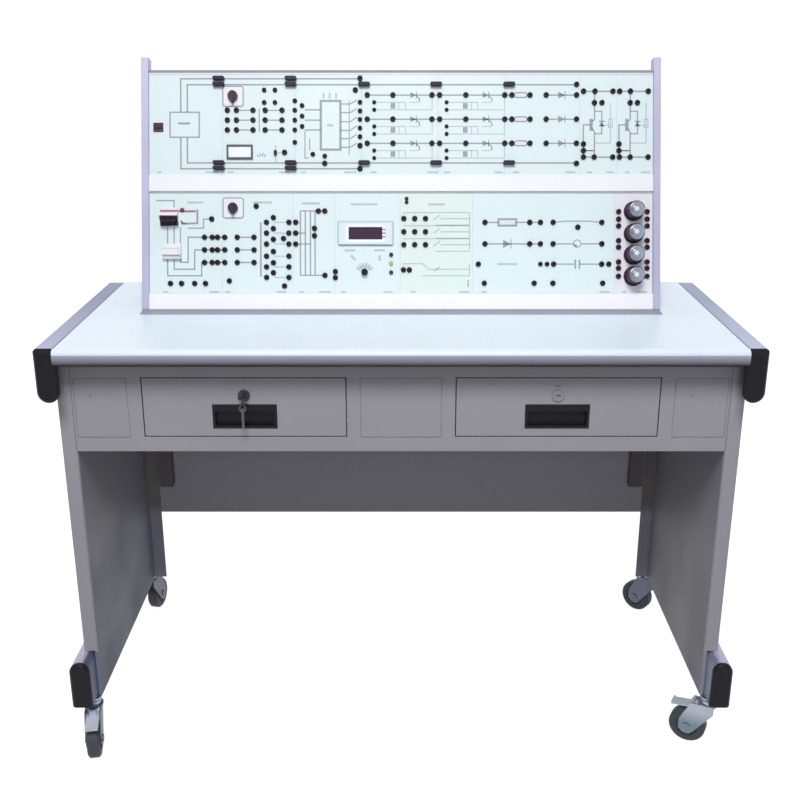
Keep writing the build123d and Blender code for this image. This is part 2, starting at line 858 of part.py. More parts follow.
def make_stems():
    """Fixed stems with their bearing cups, one under each end of a foot rail."""
    stems = []
    for side in (-1, 1):
        for depth in (caster_front, caster_rear):
            place = Pos(side * caster_x, y_at(depth), 0)
            stems.append((place * stem_shape()).solids()[0])
    return Compound(children=stems)


def upright(radius, low, high):
    """A vertical cylinder between two heights."""
    return Pos(0, 0, (low + high) / 2.0) * Cylinder(radius, high - low)


def stem_shape():
    """Kingpin with a nut below the crown, a cup above it and a top plate."""
    crown_bottom = fork_crown_top - fork_crown_sheet
    nut_top = crown_bottom - face_gap
    cup_low = fork_crown_top + face_gap
    body = upright(kingpin_radius, nut_top - kingpin_nut - kingpin_end, foot_bottom)
    body += upright(kingpin_nut_radius, nut_top - kingpin_nut, nut_top)
    body += upright(stem_cup_radius, cup_low, cup_low + stem_cup_height)
    body += upright(stem_plate_radius, foot_bottom - stem_plate, foot_bottom)
    return body


def cheek_inner():
    """Distance from the middle of the wheel to the inside of a fork cheek."""
    return wheel_width / 2.0 + fork_gap


def across(radius, half_length, y, z):
    """A cylinder lying across the wheel."""
    return Pos(0, y, z) * Rot(0, 90, 0) * Cylinder(radius, 2.0 * half_length)


def fork_shape():
    """Pressed fork: crown disc and two tapering cheeks."""
    low = fork_crown_top - fork_crown_sheet
    inner = cheek_inner()
    with BuildSketch(Plane.YZ) as cheek:
        with BuildLine():
            Polyline(
                (-fork_heel, low + fork_sink),
                (fork_toe, low + fork_sink),
                (caster_trail + fork_end_half, wheel_radius + fork_shoulder),
                (caster_trail + fork_end_half, wheel_radius - fork_end_flat),
                (caster_trail + fork_end_flat, wheel_radius - fork_end_half),
                (caster_trail - fork_end_flat, wheel_radius - fork_end_half),
                (caster_trail - fork_end_half, wheel_radius - fork_end_flat),
                (-fork_heel, low - fork_shoulder),
                close=True,
            )
        make_face()
    plate = extrude(cheek.sketch, fork_cheek)
    body = upright(fork_crown_radius, low, fork_crown_top)
    body += Pos(inner, 0, 0) * plate
    body += Pos(-inner - fork_cheek, 0, 0) * plate
    body -= upright(kingpin_radius + running_fit, low - fork_crown_sheet, fork_crown_top + cut_past)
    return body - across(axle_radius + running_fit, inner + fork_cheek + cut_past, caster_trail,
                         wheel_radius)


def axle_shape():
    """Axle bolt with a head outside each cheek."""
    outside = cheek_inner() + fork_cheek
    body = across(axle_radius, outside + axle_head, caster_trail, wheel_radius)
    head = across(axle_head_radius, axle_head / 2.0, caster_trail, wheel_radius)
    place = outside + axle_head / 2.0
    return body + Pos(place, 0, 0) * head + Pos(-place, 0, 0) * head


def make_fork(side, depth, turn):
    """One fork with its axle bolt, as two solids."""
    place = caster_place(side, depth, turn)
    parts = [place * fork_shape(), place * axle_shape()]
    return Compound(children=[shape.solids()[0] for shape in parts])


def make_wheel(side, depth, turn):
    """Rubber-tyred wheel with a dished hub and a running bore."""
    half = wheel_width / 2.0
    tyre = Cylinder(wheel_radius, wheel_width)
    tyre = chamfer(tyre.edges().filter_by(GeomType.CIRCLE), wheel_chamfer)
    for end in (-1, 1):
        tyre -= Pos(0, 0, end * (half - hub_recess / 2.0)) * Cylinder(hub_radius, hub_recess)
    tyre += Cylinder(hub_boss_radius, 2.0 * (cheek_inner() - face_gap))
    tyre -= Cylinder(axle_radius + running_fit, 2.0 * wheel_width)
    lay = Pos(0, caster_trail, wheel_radius) * Rot(0, 90, 0)
    return caster_place(side, depth, turn) * lay * tyre


def make_pedal(side, depth, turn):
    """Brake pedal between the cheeks of a front fork."""
    half = cheek_inner() - face_gap
    rise = math.degrees(math.atan2(pedal_tip_drop, pedal_reach - pedal_pin_y))
    arm = Pos(0, (pedal_reach - pedal_pin_y) / 2.0, 0)
    arm = arm * Box(2.0 * half, pedal_reach - pedal_pin_y, pedal_sheet)
    tread = Pos(0, pedal_reach - pedal_pin_y - 2.0, 2.0) * Box(2.0 * half, 4.0, 4.0)
    tab = Pos(0, pedal_tab_y, pedal_tab_height / 2.0)
    tab = tab * Box(pedal_tab_width, pedal_sheet, pedal_tab_height)
    body = Rot(-rise, 0, 0) * (arm + tread + tab)
    body = Pos(0, pedal_pin_y, pedal_pin_z) * body
    body += across(pedal_pin_radius, half, pedal_pin_y, pedal_pin_z)
    return caster_place(side, depth, turn) * body


def slope_point(slope, out):
    """Depth and height of a point of the leaning front."""
    depth = console_foot + slope * math.sin(lean) - out * math.cos(lean)
    return depth, bench_height + slope * math.cos(lean) + out * math.sin(lean)


def slab(points, x0, x1):
    """A side-view polygon of depth and height points, drawn out along x."""
    with BuildSketch(Plane.YZ) as outline:
        with BuildLine():
            Polyline([(y_at(depth), height) for depth, height in points], close=True)
        make_face()
    return Pos(x0, 0, 0) * extrude(outline.sketch, x1 - x0)


def cover_top():
    """Front and rear upper corners of the rear cover."""
    front = slope_point(top_rail_high - cover_tuck, -rail_depth)
    rear = (console_rear, slope_point(top_rail_high, 0.0)[1] - rear_top_drop)
    return front, rear


def make_console_side(side):
    """Extruded post along the sloping edge with the sheet side behind it."""
    low, high = mirrored(console_half_width - post_width, console_half_width, side)
    foot = slope_point(0.0, 0.0)
    heel = (console_foot + post_depth / math.cos(lean), bench_height)
    post = slab([foot, slope_point(console_slope, 0.0), slope_point(console_slope, -post_depth),
                 heel], low, high)
    edge = post.edges().filter_by(lambda e: abs(e.tangent_at(0).Z) > steep_edge)
    post = chamfer(edge.sort_by(Axis.Y)[:2], post_bevel)
    post -= console_block(low - cut_past, high + cut_past, -plinth_inset, bottom_rail_low,
                          -rail_front - plinth_inset, module_face)
    thin_low, thin_high = mirrored(console_half_width - side_sheet, console_half_width, side)
    front, rear = cover_top()
    sheet = slab([heel, slope_point(top_rail_high, -post_depth), rear,
                  (console_rear, bench_height)], thin_low, thin_high)
    return post + sheet


def make_console_rail(low, high, lower_lip):
    """Hollow-backed rail between the posts, front face just behind theirs."""
    reach = console_half_width - post_width
    wall = side_sheet
    body = console_block(-reach, reach, low, high, -rail_depth, -rail_front)
    body -= console_block(-reach - cut_past, reach + cut_past, low + wall, high - wall,
                          -rail_depth - cut_past, -rail_front - wall)
    if lower_lip > 0:
        body += console_block(-reach, reach, low - lower_lip, low + wall, -rail_depth,
                              -rail_front - plinth_inset)
    under = block(-reach - cut_past, reach + cut_past, console_foot - post_depth, console_rear,
                  bench_height - below_console, bench_height)
    return body - under


def make_cover():
    """Rear cover: floor, back and top folded from one sheet, with vents."""
    sheet = cover_sheet
    front, rear = cover_top()
    floor_front = console_foot + (post_depth + cover_tuck) / math.cos(lean)
    points = [
        (floor_front, bench_height),
        (console_rear, bench_height),
        rear,
        front,
        (front[0], front[1] - sheet),
        (rear[0] - sheet, rear[1] - sheet),
        (console_rear - sheet, bench_height + sheet),
        (floor_front, bench_height + sheet),
    ]
    reach = console_half_width - side_sheet
    body = slab(points, -reach, reach)
    first = -(vent_columns - 1) / 2.0 * vent_pitch_x
    for column in range(vent_columns):
        x = first + column * vent_pitch_x
        for row in range(vent_rows):
            z = vent_base + row * vent_pitch_z
            body -= block(x - vent_width / 2.0, x + vent_width / 2.0, console_rear - cover_sheet - cut_past,
                          console_rear + cut_past, z, z + vent_height)
    return body


def make_modules(joints, low, high):
    """One row of separate module panels."""
    panels = []
    for left, right in zip(joints, joints[1:]):
        panel = console_block(left + module_gap / 2.0, right - module_gap / 2.0, low, high,
                              -module_face - module_thickness, -module_face)
        panels.append(panel.solids()[0])
    return Compound(children=panels)


def make_board(left, right, low, high):
    """Circuit board on four pillars behind one row."""
    back = -module_face - module_thickness
    deep = back - board_standoff
    board = console_block(left, right, low, high, deep - board_thickness, deep)
    for x in (left + pillar_inset, right - pillar_inset):
        for slope in (low + pillar_inset, high - pillar_inset):
            board += console_disc(x, slope, deep, back, pillar_radius)
    return board.solids()[0]


def make_boards():
    """Boards behind the upper and the lower row."""
    reach = -upper_joints[0] - board_margin
    stop = lower_joints[-2] - board_margin
    upper = make_board(-reach, reach, upper_bottom + board_margin, upper_top - board_margin)
    lower = make_board(-reach, stop, lower_bottom + board_margin, lower_top - board_margin)
    return Compound(children=[upper, lower])


def socket_places():
    """Centres of the full-size sockets."""
    places = [(x, row) for row in upper_phase_rows for x in upper_phase_x]
    places += [(x, row) for row in module_rows for x in module_row_x]
    places += [(pulse_x, row) for row in pulse_rows]
    places += [(x, bridge_top_row) for x in bridge_top_x]
    places += [(x, bridge_gate_row) for x in bridge_gate_x]
    places += [(x, bridge_bottom_row) for x in bridge_bottom_x]
    places += [(x, row) for row in bridge_side_rows for x in bridge_side_x]
    places += [(x, row) for row in lower_phase_rows for x in lower_phase_x]
    places += [(x, row) for x, rows in tap_columns for row in rows]
    places += [(x, fuse_row) for x in fuse_x]
    places += [(pair_x, row) for row in pair_rows]
    places += [(x, row) for row in relay_rows for x in relay_x]
    places += [(x, row) for row in load_rows for x in load_x]
    places += [(x, branch_row) for x in branch_x]
    places += [(x, row) for row in rheostat_socket_rows for x in rheostat_socket_x]
    return places + upper_loose + lower_loose


def gate_places():
    """Centres of the small gate sockets below each module row."""
    return [(x, row - drop) for row in module_rows for drop in gate_drops for x in gate_x]


def make_socket(x, row, radius, height):
    """Collar of one socket standing on its panel."""
    prism = extrude(RegularPolygon(radius, socket_sides), height)
    return (on_console(x, row, -module_face) * prism).solids()[0]


def make_sockets():
    """All sockets of both rows."""
    solids = [make_socket(x, row, socket_radius, socket_height) for x, row in socket_places()]
    solids += [make_socket(x, row, small_socket_radius, small_socket_height)
               for x, row in gate_places()]
    return Compound(children=solids)


def make_links():
    """Moulded link plugs, in pairs on the left and single further right."""
    places = [(x, row) for x in link_pair_x for row in link_pair_rows]
    places += [(x, row) for x in link_single_x for row in link_single_rows]
    plug = Box(link_length, link_width, link_height)
    plug = chamfer(plug.edges().filter_by(Axis.Z), link_corner)
    middle = -module_face + link_height / 2.0
    return Compound(children=[(on_console(x, row, middle) * plug).solids()[0]
                              for x, row in places])


def make_plates():
    """Two rotary-switch plates and the rim of the rocker switch."""
    top = -module_face + plate_thickness
    plates = []
    for row in switch_rows:
        plate = Box(plate_width, plate_height, plate_thickness)
        plate = chamfer(plate.edges().filter_by(Axis.Z), plate_corner)
        place = on_console(switch_x, row, top - plate_thickness / 2.0)
        plates.append((place * plate).solids()[0])
    half = rocker_width / 2.0
    tall = rocker_height / 2.0
    rim_top = -module_face + rocker_bezel_thickness
    rim = console_block(rocker_x - half, rocker_x + half, rocker_row - tall, rocker_row + tall,
                        -module_face, rim_top)
    rim -= console_block(rocker_x - half + rocker_bezel, rocker_x + half - rocker_bezel,
                         rocker_row - tall + rocker_bezel, rocker_row + tall - rocker_bezel,
                         -module_face, rim_top + cut_past)
    plates.append(rim.solids()[0])
    return Compound(children=plates)


def make_switch_knob(row):
    """Rotary-switch knob with a raised pointer bar, pointing down."""
    base = -module_face + plate_thickness + face_gap
    knob = console_disc(switch_x, row, base, base + switch_disc, switch_radius)
    half = switch_bar_width / 2.0
    bar = console_block(switch_x - half, switch_x + half, row - switch_bar_reach,
                        row + switch_radius - switch_bar_step, base, base + switch_height)
    return knob + bar


def make_rheostat_knob(row):
    """Large knob: round skirt and a many-sided grip."""
    base = -module_face + face_gap
    skirt = console_disc(rheostat_x, row, base, base + rheostat_skirt, rheostat_radius)
    grip = extrude(RegularPolygon(rheostat_cap_radius, rheostat_cap_sides),
                   rheostat_height - rheostat_skirt)
    return skirt + on_console(rheostat_x, row, base + rheostat_skirt) * grip


def make_rheostat_bodies():
    """Wire-wound bodies behind the four knobs."""
    back = -module_face - module_thickness
    return Compound(children=[
        console_disc(rheostat_x, row, back - rheostat_body_depth, back, rheostat_body_radius)
        .solids()[0] for row in rheostat_rows
    ])


def make_breaker():
    """Three-pole breaker body with the rounded nose that carries the levers."""
    half = breaker_width / 2.0
    out = -module_face + breaker_depth
    body = console_block(breaker_x - half, breaker_x + half, breaker_low, breaker_high,
                         -module_face, out)
    middle = (breaker_low + breaker_high) / 2.0
    nose = on_console(breaker_x, middle, out) * Rot(0, 90, 0)
    nose = nose * Cylinder(breaker_nose_radius, breaker_width)
    behind = console_block(breaker_x - half - cut_past, breaker_x + half + cut_past, breaker_low,
                           breaker_high, -module_face - breaker_nose_radius, -module_face)
    return body + nose - behind


def make_toggle():
    """Three levers joined by a bar, pointing down."""
    middle = (breaker_low + breaker_high) / 2.0
    start = breaker_nose_radius + toggle_gap
    end = start + toggle_length
    body = Box(2.0 * toggle_pitch + toggle_width, toggle_thickness, toggle_bar)
    body = Pos(0, 0, end - toggle_bar / 2.0) * body
    for step in (-1, 0, 1):
        finger = Box(toggle_width, toggle_thickness, toggle_length)
        body += Pos(step * toggle_pitch, 0, (start + end) / 2.0) * finger
    place = on_console(breaker_x, middle, -module_face + breaker_depth)
    return place * Rot(toggle_tilt, 0, 0) * body


def make_contactor():
    """White contactor block with a stepped face."""
    half = contactor_width / 2.0
    out = -module_face + contactor_depth
    body = console_block(contactor_x - half, contactor_x + half, contactor_low, contactor_high,
                         -module_face, out)
    for low in (contactor_low - cut_past, contactor_high - contactor_step):
        body -= console_block(contactor_x - half - cut_past, contactor_x + half + cut_past, low,
                              low + contactor_step + cut_past, out - contactor_step_depth, out + cut_past)
    return body


def framed(x, row, width, height, depth, window_width, window_height, window_depth):
    """A display frame and the window that lies in it."""
    base = -module_face
    frame = console_block(x - width / 2.0, x + width / 2.0, row - height / 2.0,
                          row + height / 2.0, base, base + depth)
    hole = console_block(x - window_width / 2.0, x + window_width / 2.0,
                         row - window_height / 2.0, row + window_height / 2.0,
                         base, base + depth + cut_past)
    window = console_block(x - window_width / 2.0, x + window_width / 2.0,
                           row - window_height / 2.0, row + window_height / 2.0,
                           base, base + window_depth)
    return (frame - hole).solids()[0], window.solids()[0]


def displays():
    """Frames and windows of the meter and of the small screen."""
    meter = framed(meter_x, meter_row, meter_width, meter_height, meter_depth,
                   meter_window_width, meter_window_height, meter_window_depth)
    screen = framed(screen_x, screen_row, screen_width, screen_height, screen_depth,
                    screen_width - 2.0 * screen_frame, screen_height - 2.0 * screen_frame,
                    screen_window_depth)
    return meter, screen


def make_frames():
    """Both display frames."""
    return Compound(children=[pair[0] for pair in displays()])


def make_windows():
    """Both display windows."""
    return Compound(children=[pair[1] for pair in displays()])


def make_lamps():
    """Three indicator lamps with chamfered caps."""
    lamps = []
    for row in lamp_rows:
        lamp = extrude(RegularPolygon(lamp_radius, 12), lamp_height)
        lamp = chamfer(lamp.faces().sort_by(Axis.Z)[-1].edges(), lamp_bevel)
        lamps.append((on_console(lamp_x, row, -module_face) * lamp).solids()[0])
    return Compound(children=lamps)


def make_rocker():
    """Rocker button between the walls of its rim, pivoting about x."""
    half = rocker_width / 2.0 - rocker_bezel - face_gap
    tall = rocker_height / 2.0 - rocker_bezel - face_gap
    top = -module_face + rocker_rise
    low = -module_face + rocker_bottom
    with BuildSketch(Plane.YZ) as side:
        with BuildLine():
            Polyline((-tall + rocker_foot, low), (tall - rocker_foot, low),
                     (tall - rocker_edge, top - rocker_dip), (0.0, top - rocker_valley),
                     (-tall + rocker_edge, top), close=True)
        make_face()
    body = Pos(-half, 0, 0) * extrude(side.sketch, 2.0 * half)
    return on_console(rocker_x, rocker_row, 0) * body


def make_dial_knob():
    """Small potentiometer knob with a pointer rib."""
    base = -module_face + face_gap
    knob = console_disc(dial_x, dial_row, base, base + dial_height - dial_rib, dial_radius)
    return knob + console_block(dial_x - dial_rib / 2.0, dial_x + dial_rib / 2.0,
                                dial_row - dial_rib_back, dial_row + dial_rib_reach, base,
                                base + dial_height)


def make_slider():
    """Knob of the slide potentiometer."""
    base = -module_face + face_gap
    return console_block(slider_x - slider_width / 2.0, slider_x + slider_width / 2.0,
                         slider_row - slider_length / 2.0, slider_row + slider_length / 2.0,
                         base, base + slider_height)


casters = {
    "front_left": (-1, caster_front, trail_front_left),
    "front_right": (1, caster_front, trail_front_right),
    "rear_left": (-1, caster_rear, trail_rear_left),
    "rear_right": (1, caster_rear, trail_rear_right),
}

nodes = {
    "tabletop": make_tabletop(),
    "rail_end_caps": make_caps(),
    "apron": make_apron(),
    "apron_fillers": make_fillers(),
    "drawer_case": make_case(),
    "drawer_runners": make_fixed_runners(),
    "lock_key": make_key(),
    "modesty_panel": make_modesty(),
    "caster_stems": make_stems(),
    "console_rail_top": make_console_rail(top_rail_low, top_rail_high, 0.0),
    "console_rail_middle": make_console_rail(middle_rail_low, middle_rail_high,
                                             middle_rail_low - lower_top),
    "console_rail_bottom": make_console_rail(bottom_rail_low, bottom_rail_high,
                                             plinth_drop),
    "console_cover": make_cover(),
    "cover_screws": make_case_screws(),
    "upper_modules": make_modules(upper_joints, upper_bottom, upper_top),
    "lower_modules": make_modules(lower_joints, lower_bottom, lower_top),
    "console_boards": make_boards(),
    "sockets": make_sockets(),
    "link_plugs": make_links(),
    "switch_plates": make_plates(),
    "rheostat_bodies": make_rheostat_bodies(),
    "breaker_body": make_breaker(),
    "breaker_toggle": make_toggle(),
    "contactor": make_contactor(),
    "display_frames": make_frames(),
    "display_windows": make_windows(),
    "lamps": make_lamps(),
    "rocker_button": make_rocker(),
    "dial_knob": make_dial_knob(),
    "slider_knob": make_slider(),
}

for name, side in (("left", -1), ("right", 1)):
    nodes["side_rail_" + name] = make_side_rail(side)
    nodes["foot_rail_" + name] = make_foot_rail(side)
    nodes["leg_" + name] = make_leg(side)
    nodes["drawer_" + name] = make_drawer(side)
    nodes["pull_" + name] = make_pull(side)
    nodes["lock_" + name] = make_lock(side)
    nodes["console_side_" + name] = make_console_side(side)

for name, (side, depth, turn) in casters.items():
    nodes["fork_" + name] = make_fork(side, depth, turn)
    nodes["wheel_" + name] = make_wheel(side, depth, turn)

for name in ("front_left", "front_right"):
    nodes["pedal_" + name] = make_pedal(*casters[name])

for name, row in zip(("upper", "lower"), switch_rows):
    nodes["switch_knob_" + name] = make_switch_knob(row)

for number, row in enumerate(rheostat_rows, start=1):
    nodes["rheostat_knob_" + str(number)] = make_rheostat_knob(row)

os.makedirs("parts", exist_ok=True)
for name, shape in nodes.items():
    export_step(shape, "parts/" + name + ".step")
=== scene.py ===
"""Looks of the power electronics trainer: a wheeled bench with a sloping console."""

import json
import math

import bmesh
import bpy
from mathutils import Matrix, Vector


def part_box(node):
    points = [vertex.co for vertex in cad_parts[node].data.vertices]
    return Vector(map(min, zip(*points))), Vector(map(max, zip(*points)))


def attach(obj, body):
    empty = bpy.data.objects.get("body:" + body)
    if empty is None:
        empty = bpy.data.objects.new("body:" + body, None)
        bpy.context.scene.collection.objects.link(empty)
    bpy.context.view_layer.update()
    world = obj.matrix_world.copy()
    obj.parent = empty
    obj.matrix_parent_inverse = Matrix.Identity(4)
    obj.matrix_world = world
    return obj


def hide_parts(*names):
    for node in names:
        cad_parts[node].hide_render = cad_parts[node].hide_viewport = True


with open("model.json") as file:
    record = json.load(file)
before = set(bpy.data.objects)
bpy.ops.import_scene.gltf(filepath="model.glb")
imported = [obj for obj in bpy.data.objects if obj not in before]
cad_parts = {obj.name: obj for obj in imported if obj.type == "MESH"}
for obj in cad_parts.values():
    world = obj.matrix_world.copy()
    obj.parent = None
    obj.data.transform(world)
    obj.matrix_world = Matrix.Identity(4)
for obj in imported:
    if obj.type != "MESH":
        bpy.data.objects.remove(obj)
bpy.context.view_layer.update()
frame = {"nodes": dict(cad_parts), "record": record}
nodes = frame["nodes"]

# Camera, found from the photograph's straight edges; pixels, metres and degrees
image_side = 800.0
focal_length = 1086.47
image_middle = (401.07, 400.14)
sensor_width = 36.0
camera_place = (0.0, -2.3105, 1.4996)
camera_pitch = 18.993

# The console's leaning front: x across, slope upward, out towards the user, millimetres
millimetre = 0.001
console_lean = math.radians(18.2)
console_foot = -46.0
panel_face = -4.0
crease = math.radians(35.0)

(bench_left, bench_front, bench_foot), (bench_right, bench_back, bench_top) = (
    [value / millimetre for value in corner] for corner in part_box("tabletop"))
up_slope = Vector((0.0, math.sin(console_lean), math.cos(console_lean)))
outward = Vector((0.0, -math.cos(console_lean), math.sin(console_lean)))
console_origin = Vector((0.0, console_foot, bench_top))


def console_frame():
    """Matrix from console millimetres (x, slope, out) to the shared frame in metres."""
    columns = (Vector((1.0, 0.0, 0.0)), up_slope, outward)
    turn = Matrix([[column[row] for column in columns] for row in range(3)])
    return Matrix.Scale(millimetre, 4) @ Matrix.Translation(console_origin) @ turn.to_4x4()


to_console = console_frame().inverted()


def islands(node):
    """Lowest and highest corner of each separate solid of a node, in the shared frame."""
    mesh = bmesh.new()
    mesh.from_mesh(nodes[node].data)
    bmesh.ops.remove_doubles(mesh, verts=mesh.verts, dist=1e-6)
    found = []
    seen = set()
    for start in mesh.verts:
        if start in seen:
            continue
        group = []
        todo = [start]
        seen.add(start)
        while todo:
            vertex = todo.pop()
            group.append(vertex.co)
            for edge in vertex.link_edges:
                other = edge.other_vert(vertex)
                if other not in seen:
                    seen.add(other)
                    todo.append(other)
        low = Vector([min(co[axis] for co in group) for axis in range(3)])
        high = Vector([max(co[axis] for co in group) for axis in range(3)])
        found.append((low, high))
    mesh.free()
    return found


def new_object(name, data):
    """Object of the scene that holds some data."""
    holder = bpy.data.objects.new(name, data)
    bpy.context.scene.collection.objects.link(holder)
    return holder


# Mesh building blocks in local millimetres


def finished(shape, name, place, body, finish):
    """Turn a bmesh into a piece that rides on a body."""
    shape.transform(place)
    bmesh.ops.recalc_face_normals(shape, faces=shape.faces)
    mesh = bpy.data.meshes.new(name)
    shape.to_mesh(mesh)
    shape.free()
    mesh.shade_smooth()
    mesh.set_sharp_from_angle(angle=crease)
    piece = new_object(name, mesh)
    mesh.materials.append(finishes[finish])
    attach(piece, body)
    return piece


def on_console(shape, name, finish, body="frame"):
    """Finish a shape that is drawn in console millimetres."""
    return finished(shape, name, console_frame(), body, finish)


def on_bench(shape, name, finish):
    """Finish a shape that is drawn in millimetres of the shared frame."""
    return finished(shape, name, Matrix.Scale(millimetre, 4), "frame", finish)


def tint(node, finish, chosen=None):
    """Give another finish to a node, or to its faces whose middle and direction pass a test."""
    mesh = nodes[node].data
    mesh.materials.append(finishes[finish])
    index = len(mesh.materials) - 1
    for face in mesh.polygons:
        if chosen is None or chosen(face.center / millimetre, face.normal):
            face.material_index = index


def tint_console(node, finish, chosen):
    """The same with the middle and the direction measured on the console's front."""
    def test(middle, normal):
        facing = Vector((normal.x, normal.dot(up_slope), normal.dot(outward)))
        return chosen(to_console @ (middle * millimetre), facing)
    tint(node, finish, test)


def prism(shape, outline, low, high):
    """Closed prism over an outline of (x, y) points between two heights."""
    lower = [shape.verts.new((x, y, low)) for x, y in outline]
    upper = [shape.verts.new((x, y, high)) for x, y in outline]
    shape.faces.new(lower[::-1])
    shape.faces.new(upper)
    count = len(outline)
    for i in range(count):
        j = (i + 1) % count
        shape.faces.new((lower[i], lower[j], upper[j], upper[i]))


def rectangle(x0, y0, x1, y1):
    """Corners of an upright rectangle."""
    return [(x0, y0), (x1, y0), (x1, y1), (x0, y1)]


def arc(centre, radius, start, end, count):
    """Points of an arc in degrees."""
    steps = [math.radians(start + (end - start) * i / count) for i in range(count + 1)]
    return [(centre[0] + radius * math.cos(a), centre[1] + radius * math.sin(a)) for a in steps]


def rounded(x0, y0, x1, y1, radius, count=4):
    """Corners of a rectangle with round corners."""
    points = []
    for centre, start in (((x1 - radius, y0 + radius), -90.0), ((x1 - radius, y1 - radius), 0.0),
                          ((x0 + radius, y1 - radius), 90.0), ((x0 + radius, y0 + radius), 180.0)):
        points += arc(centre, radius, start, start + 90.0, count)
    return points


def offset_side(points, distance, closed):
    """Points of a line moved sideways, with mitred corners."""
    count = len(points)
    moved = []
    for i, here in enumerate(points):
        before = points[i - 1] if closed or i > 0 else None
        after = points[(i + 1) % count] if closed or i < count - 1 else None
        normals = []
        for a, b in ((before, here), (here, after)):
            if a is None or b is None:
                continue
            along = Vector((b[0] - a[0], b[1] - a[1])).normalized()
            normals.append(Vector((-along.y, along.x)))
        middle = sum(normals, Vector((0.0, 0.0))).normalized()
        reach = distance / max(middle.dot(normals[0]), 0.3)
        moved.append((here[0] + middle.x * reach, here[1] + middle.y * reach))
    return moved


def ribbon(shape, points, width, low, high, closed=False):
    """Flat strip of even width along a line."""
    left = offset_side(points, width / 2.0, closed)
    right = offset_side(points, -width / 2.0, closed)
    rings = []
    for a, b in zip(left, right):
        rings.append([shape.verts.new((a[0], a[1], low)), shape.verts.new((b[0], b[1], low)),
                      shape.verts.new((b[0], b[1], high)), shape.verts.new((a[0], a[1], high))])
    pairs = list(zip(rings, rings[1:]))
    if closed:
        pairs.append((rings[-1], rings[0]))
    else:
        shape.faces.new(rings[0])
        shape.faces.new(rings[-1][::-1])
    for one, two in pairs:
        for i in range(4):
            j = (i + 1) % 4
            shape.faces.new((one[i], one[j], two[j], two[i]))


def lathe(shape, centre, profile, sides):
    """Solid of revolution about the height axis; the profile holds (radius, height) pairs."""
    rings = []
    for radius, height in profile:
        ring = []
        for i in range(sides):
            angle = 2.0 * math.pi * i / sides
            ring.append(shape.verts.new((centre[0] + radius * math.cos(angle),
                                         centre[1] + radius * math.sin(angle), height)))
        rings.append(ring)
    shape.faces.new(rings[0][::-1])
    shape.faces.new(rings[-1])
    for one, two in zip(rings, rings[1:]):
        for i in range(sides):
            j = (i + 1) % sides
            shape.faces.new((one[i], one[j], two[j], two[i]))


# Materials

patch_waves = 6.0
patch_levels = (0.3, 0.7)
wear_waves = 160.0
wear_levels = (0.42, 0.6)
edge_levels = (0.99, 0.8)
gloss_spread = 0.15
bump_depth = 0.0002


def linear(red, green, blue):
    """Linear colour of a 0-255 display colour."""
    def channel(value):
        value /= 255.0
        return value / 12.92 if value <= 0.04045 else ((value + 0.055) / 1.055) ** 2.4
    return (channel(red), channel(green), channel(blue), 1.0)


def new_material(name):
    """Empty node material with its shader."""
    material = bpy.data.materials.new(name)
    material.use_nodes = True
    tree = material.node_tree
    return material, tree, tree.nodes["Principled BSDF"]


def add(tree, kind, **values):
    """Add a node and set its properties or named inputs."""
    node = tree.nodes.new(kind)
    for key, value in values.items():
        if hasattr(node, key):
            setattr(node, key, value)
        else:
            node.inputs[key.replace("_", " ")].default_value = value
    return node


def noise(tree, scale, detail=4.0, stretch=(1.0, 1.0, 1.0)):
    """Noise over the object's own place, in waves per metre."""
    place = add(tree, "ShaderNodeTexCoord")
    mapping = add(tree, "ShaderNodeMapping", Scale=stretch)
    tree.links.new(place.outputs["Object"], mapping.inputs["Vector"])
    texture = add(tree, "ShaderNodeTexNoise", Scale=scale, Detail=detail)
    tree.links.new(mapping.outputs["Vector"], texture.inputs["Vector"])
    return texture


def ramp(tree, source, low, high, first, second):
    """Map a value between two levels onto two colours."""
    node = add(tree, "ShaderNodeValToRGB")
    node.color_ramp.elements[0].position = low
    node.color_ramp.elements[1].position = high
    node.color_ramp.elements[0].color = first
    node.color_ramp.elements[1].color = second
    tree.links.new(source, node.inputs["Fac"])
    return node


def span(tree, source, low, high, first, second):
    """Map a value between two levels onto two numbers."""
    node = add(tree, "ShaderNodeMapRange", From_Min=low, From_Max=high, To_Min=first,
               To_Max=second)
    tree.links.new(source, node.inputs["Value"])
    return node


def shaded(colour, factor):
    """A colour made darker or lighter by a factor."""
    return tuple(min(channel * factor, 1.0) for channel in colour[:3]) + (1.0,)


def edge_mask(tree, radius):
    """One near convex edges, nought on flat faces."""
    bevel = add(tree, "ShaderNodeBevel", samples=4, Radius=radius)
    geometry = add(tree, "ShaderNodeNewGeometry")
    product = add(tree, "ShaderNodeVectorMath", operation="DOT_PRODUCT")
    tree.links.new(bevel.outputs["Normal"], product.inputs[0])
    tree.links.new(geometry.outputs["Normal"], product.inputs[1])
    return span(tree, product.outputs["Value"], *edge_levels, 0.0, 1.0), bevel


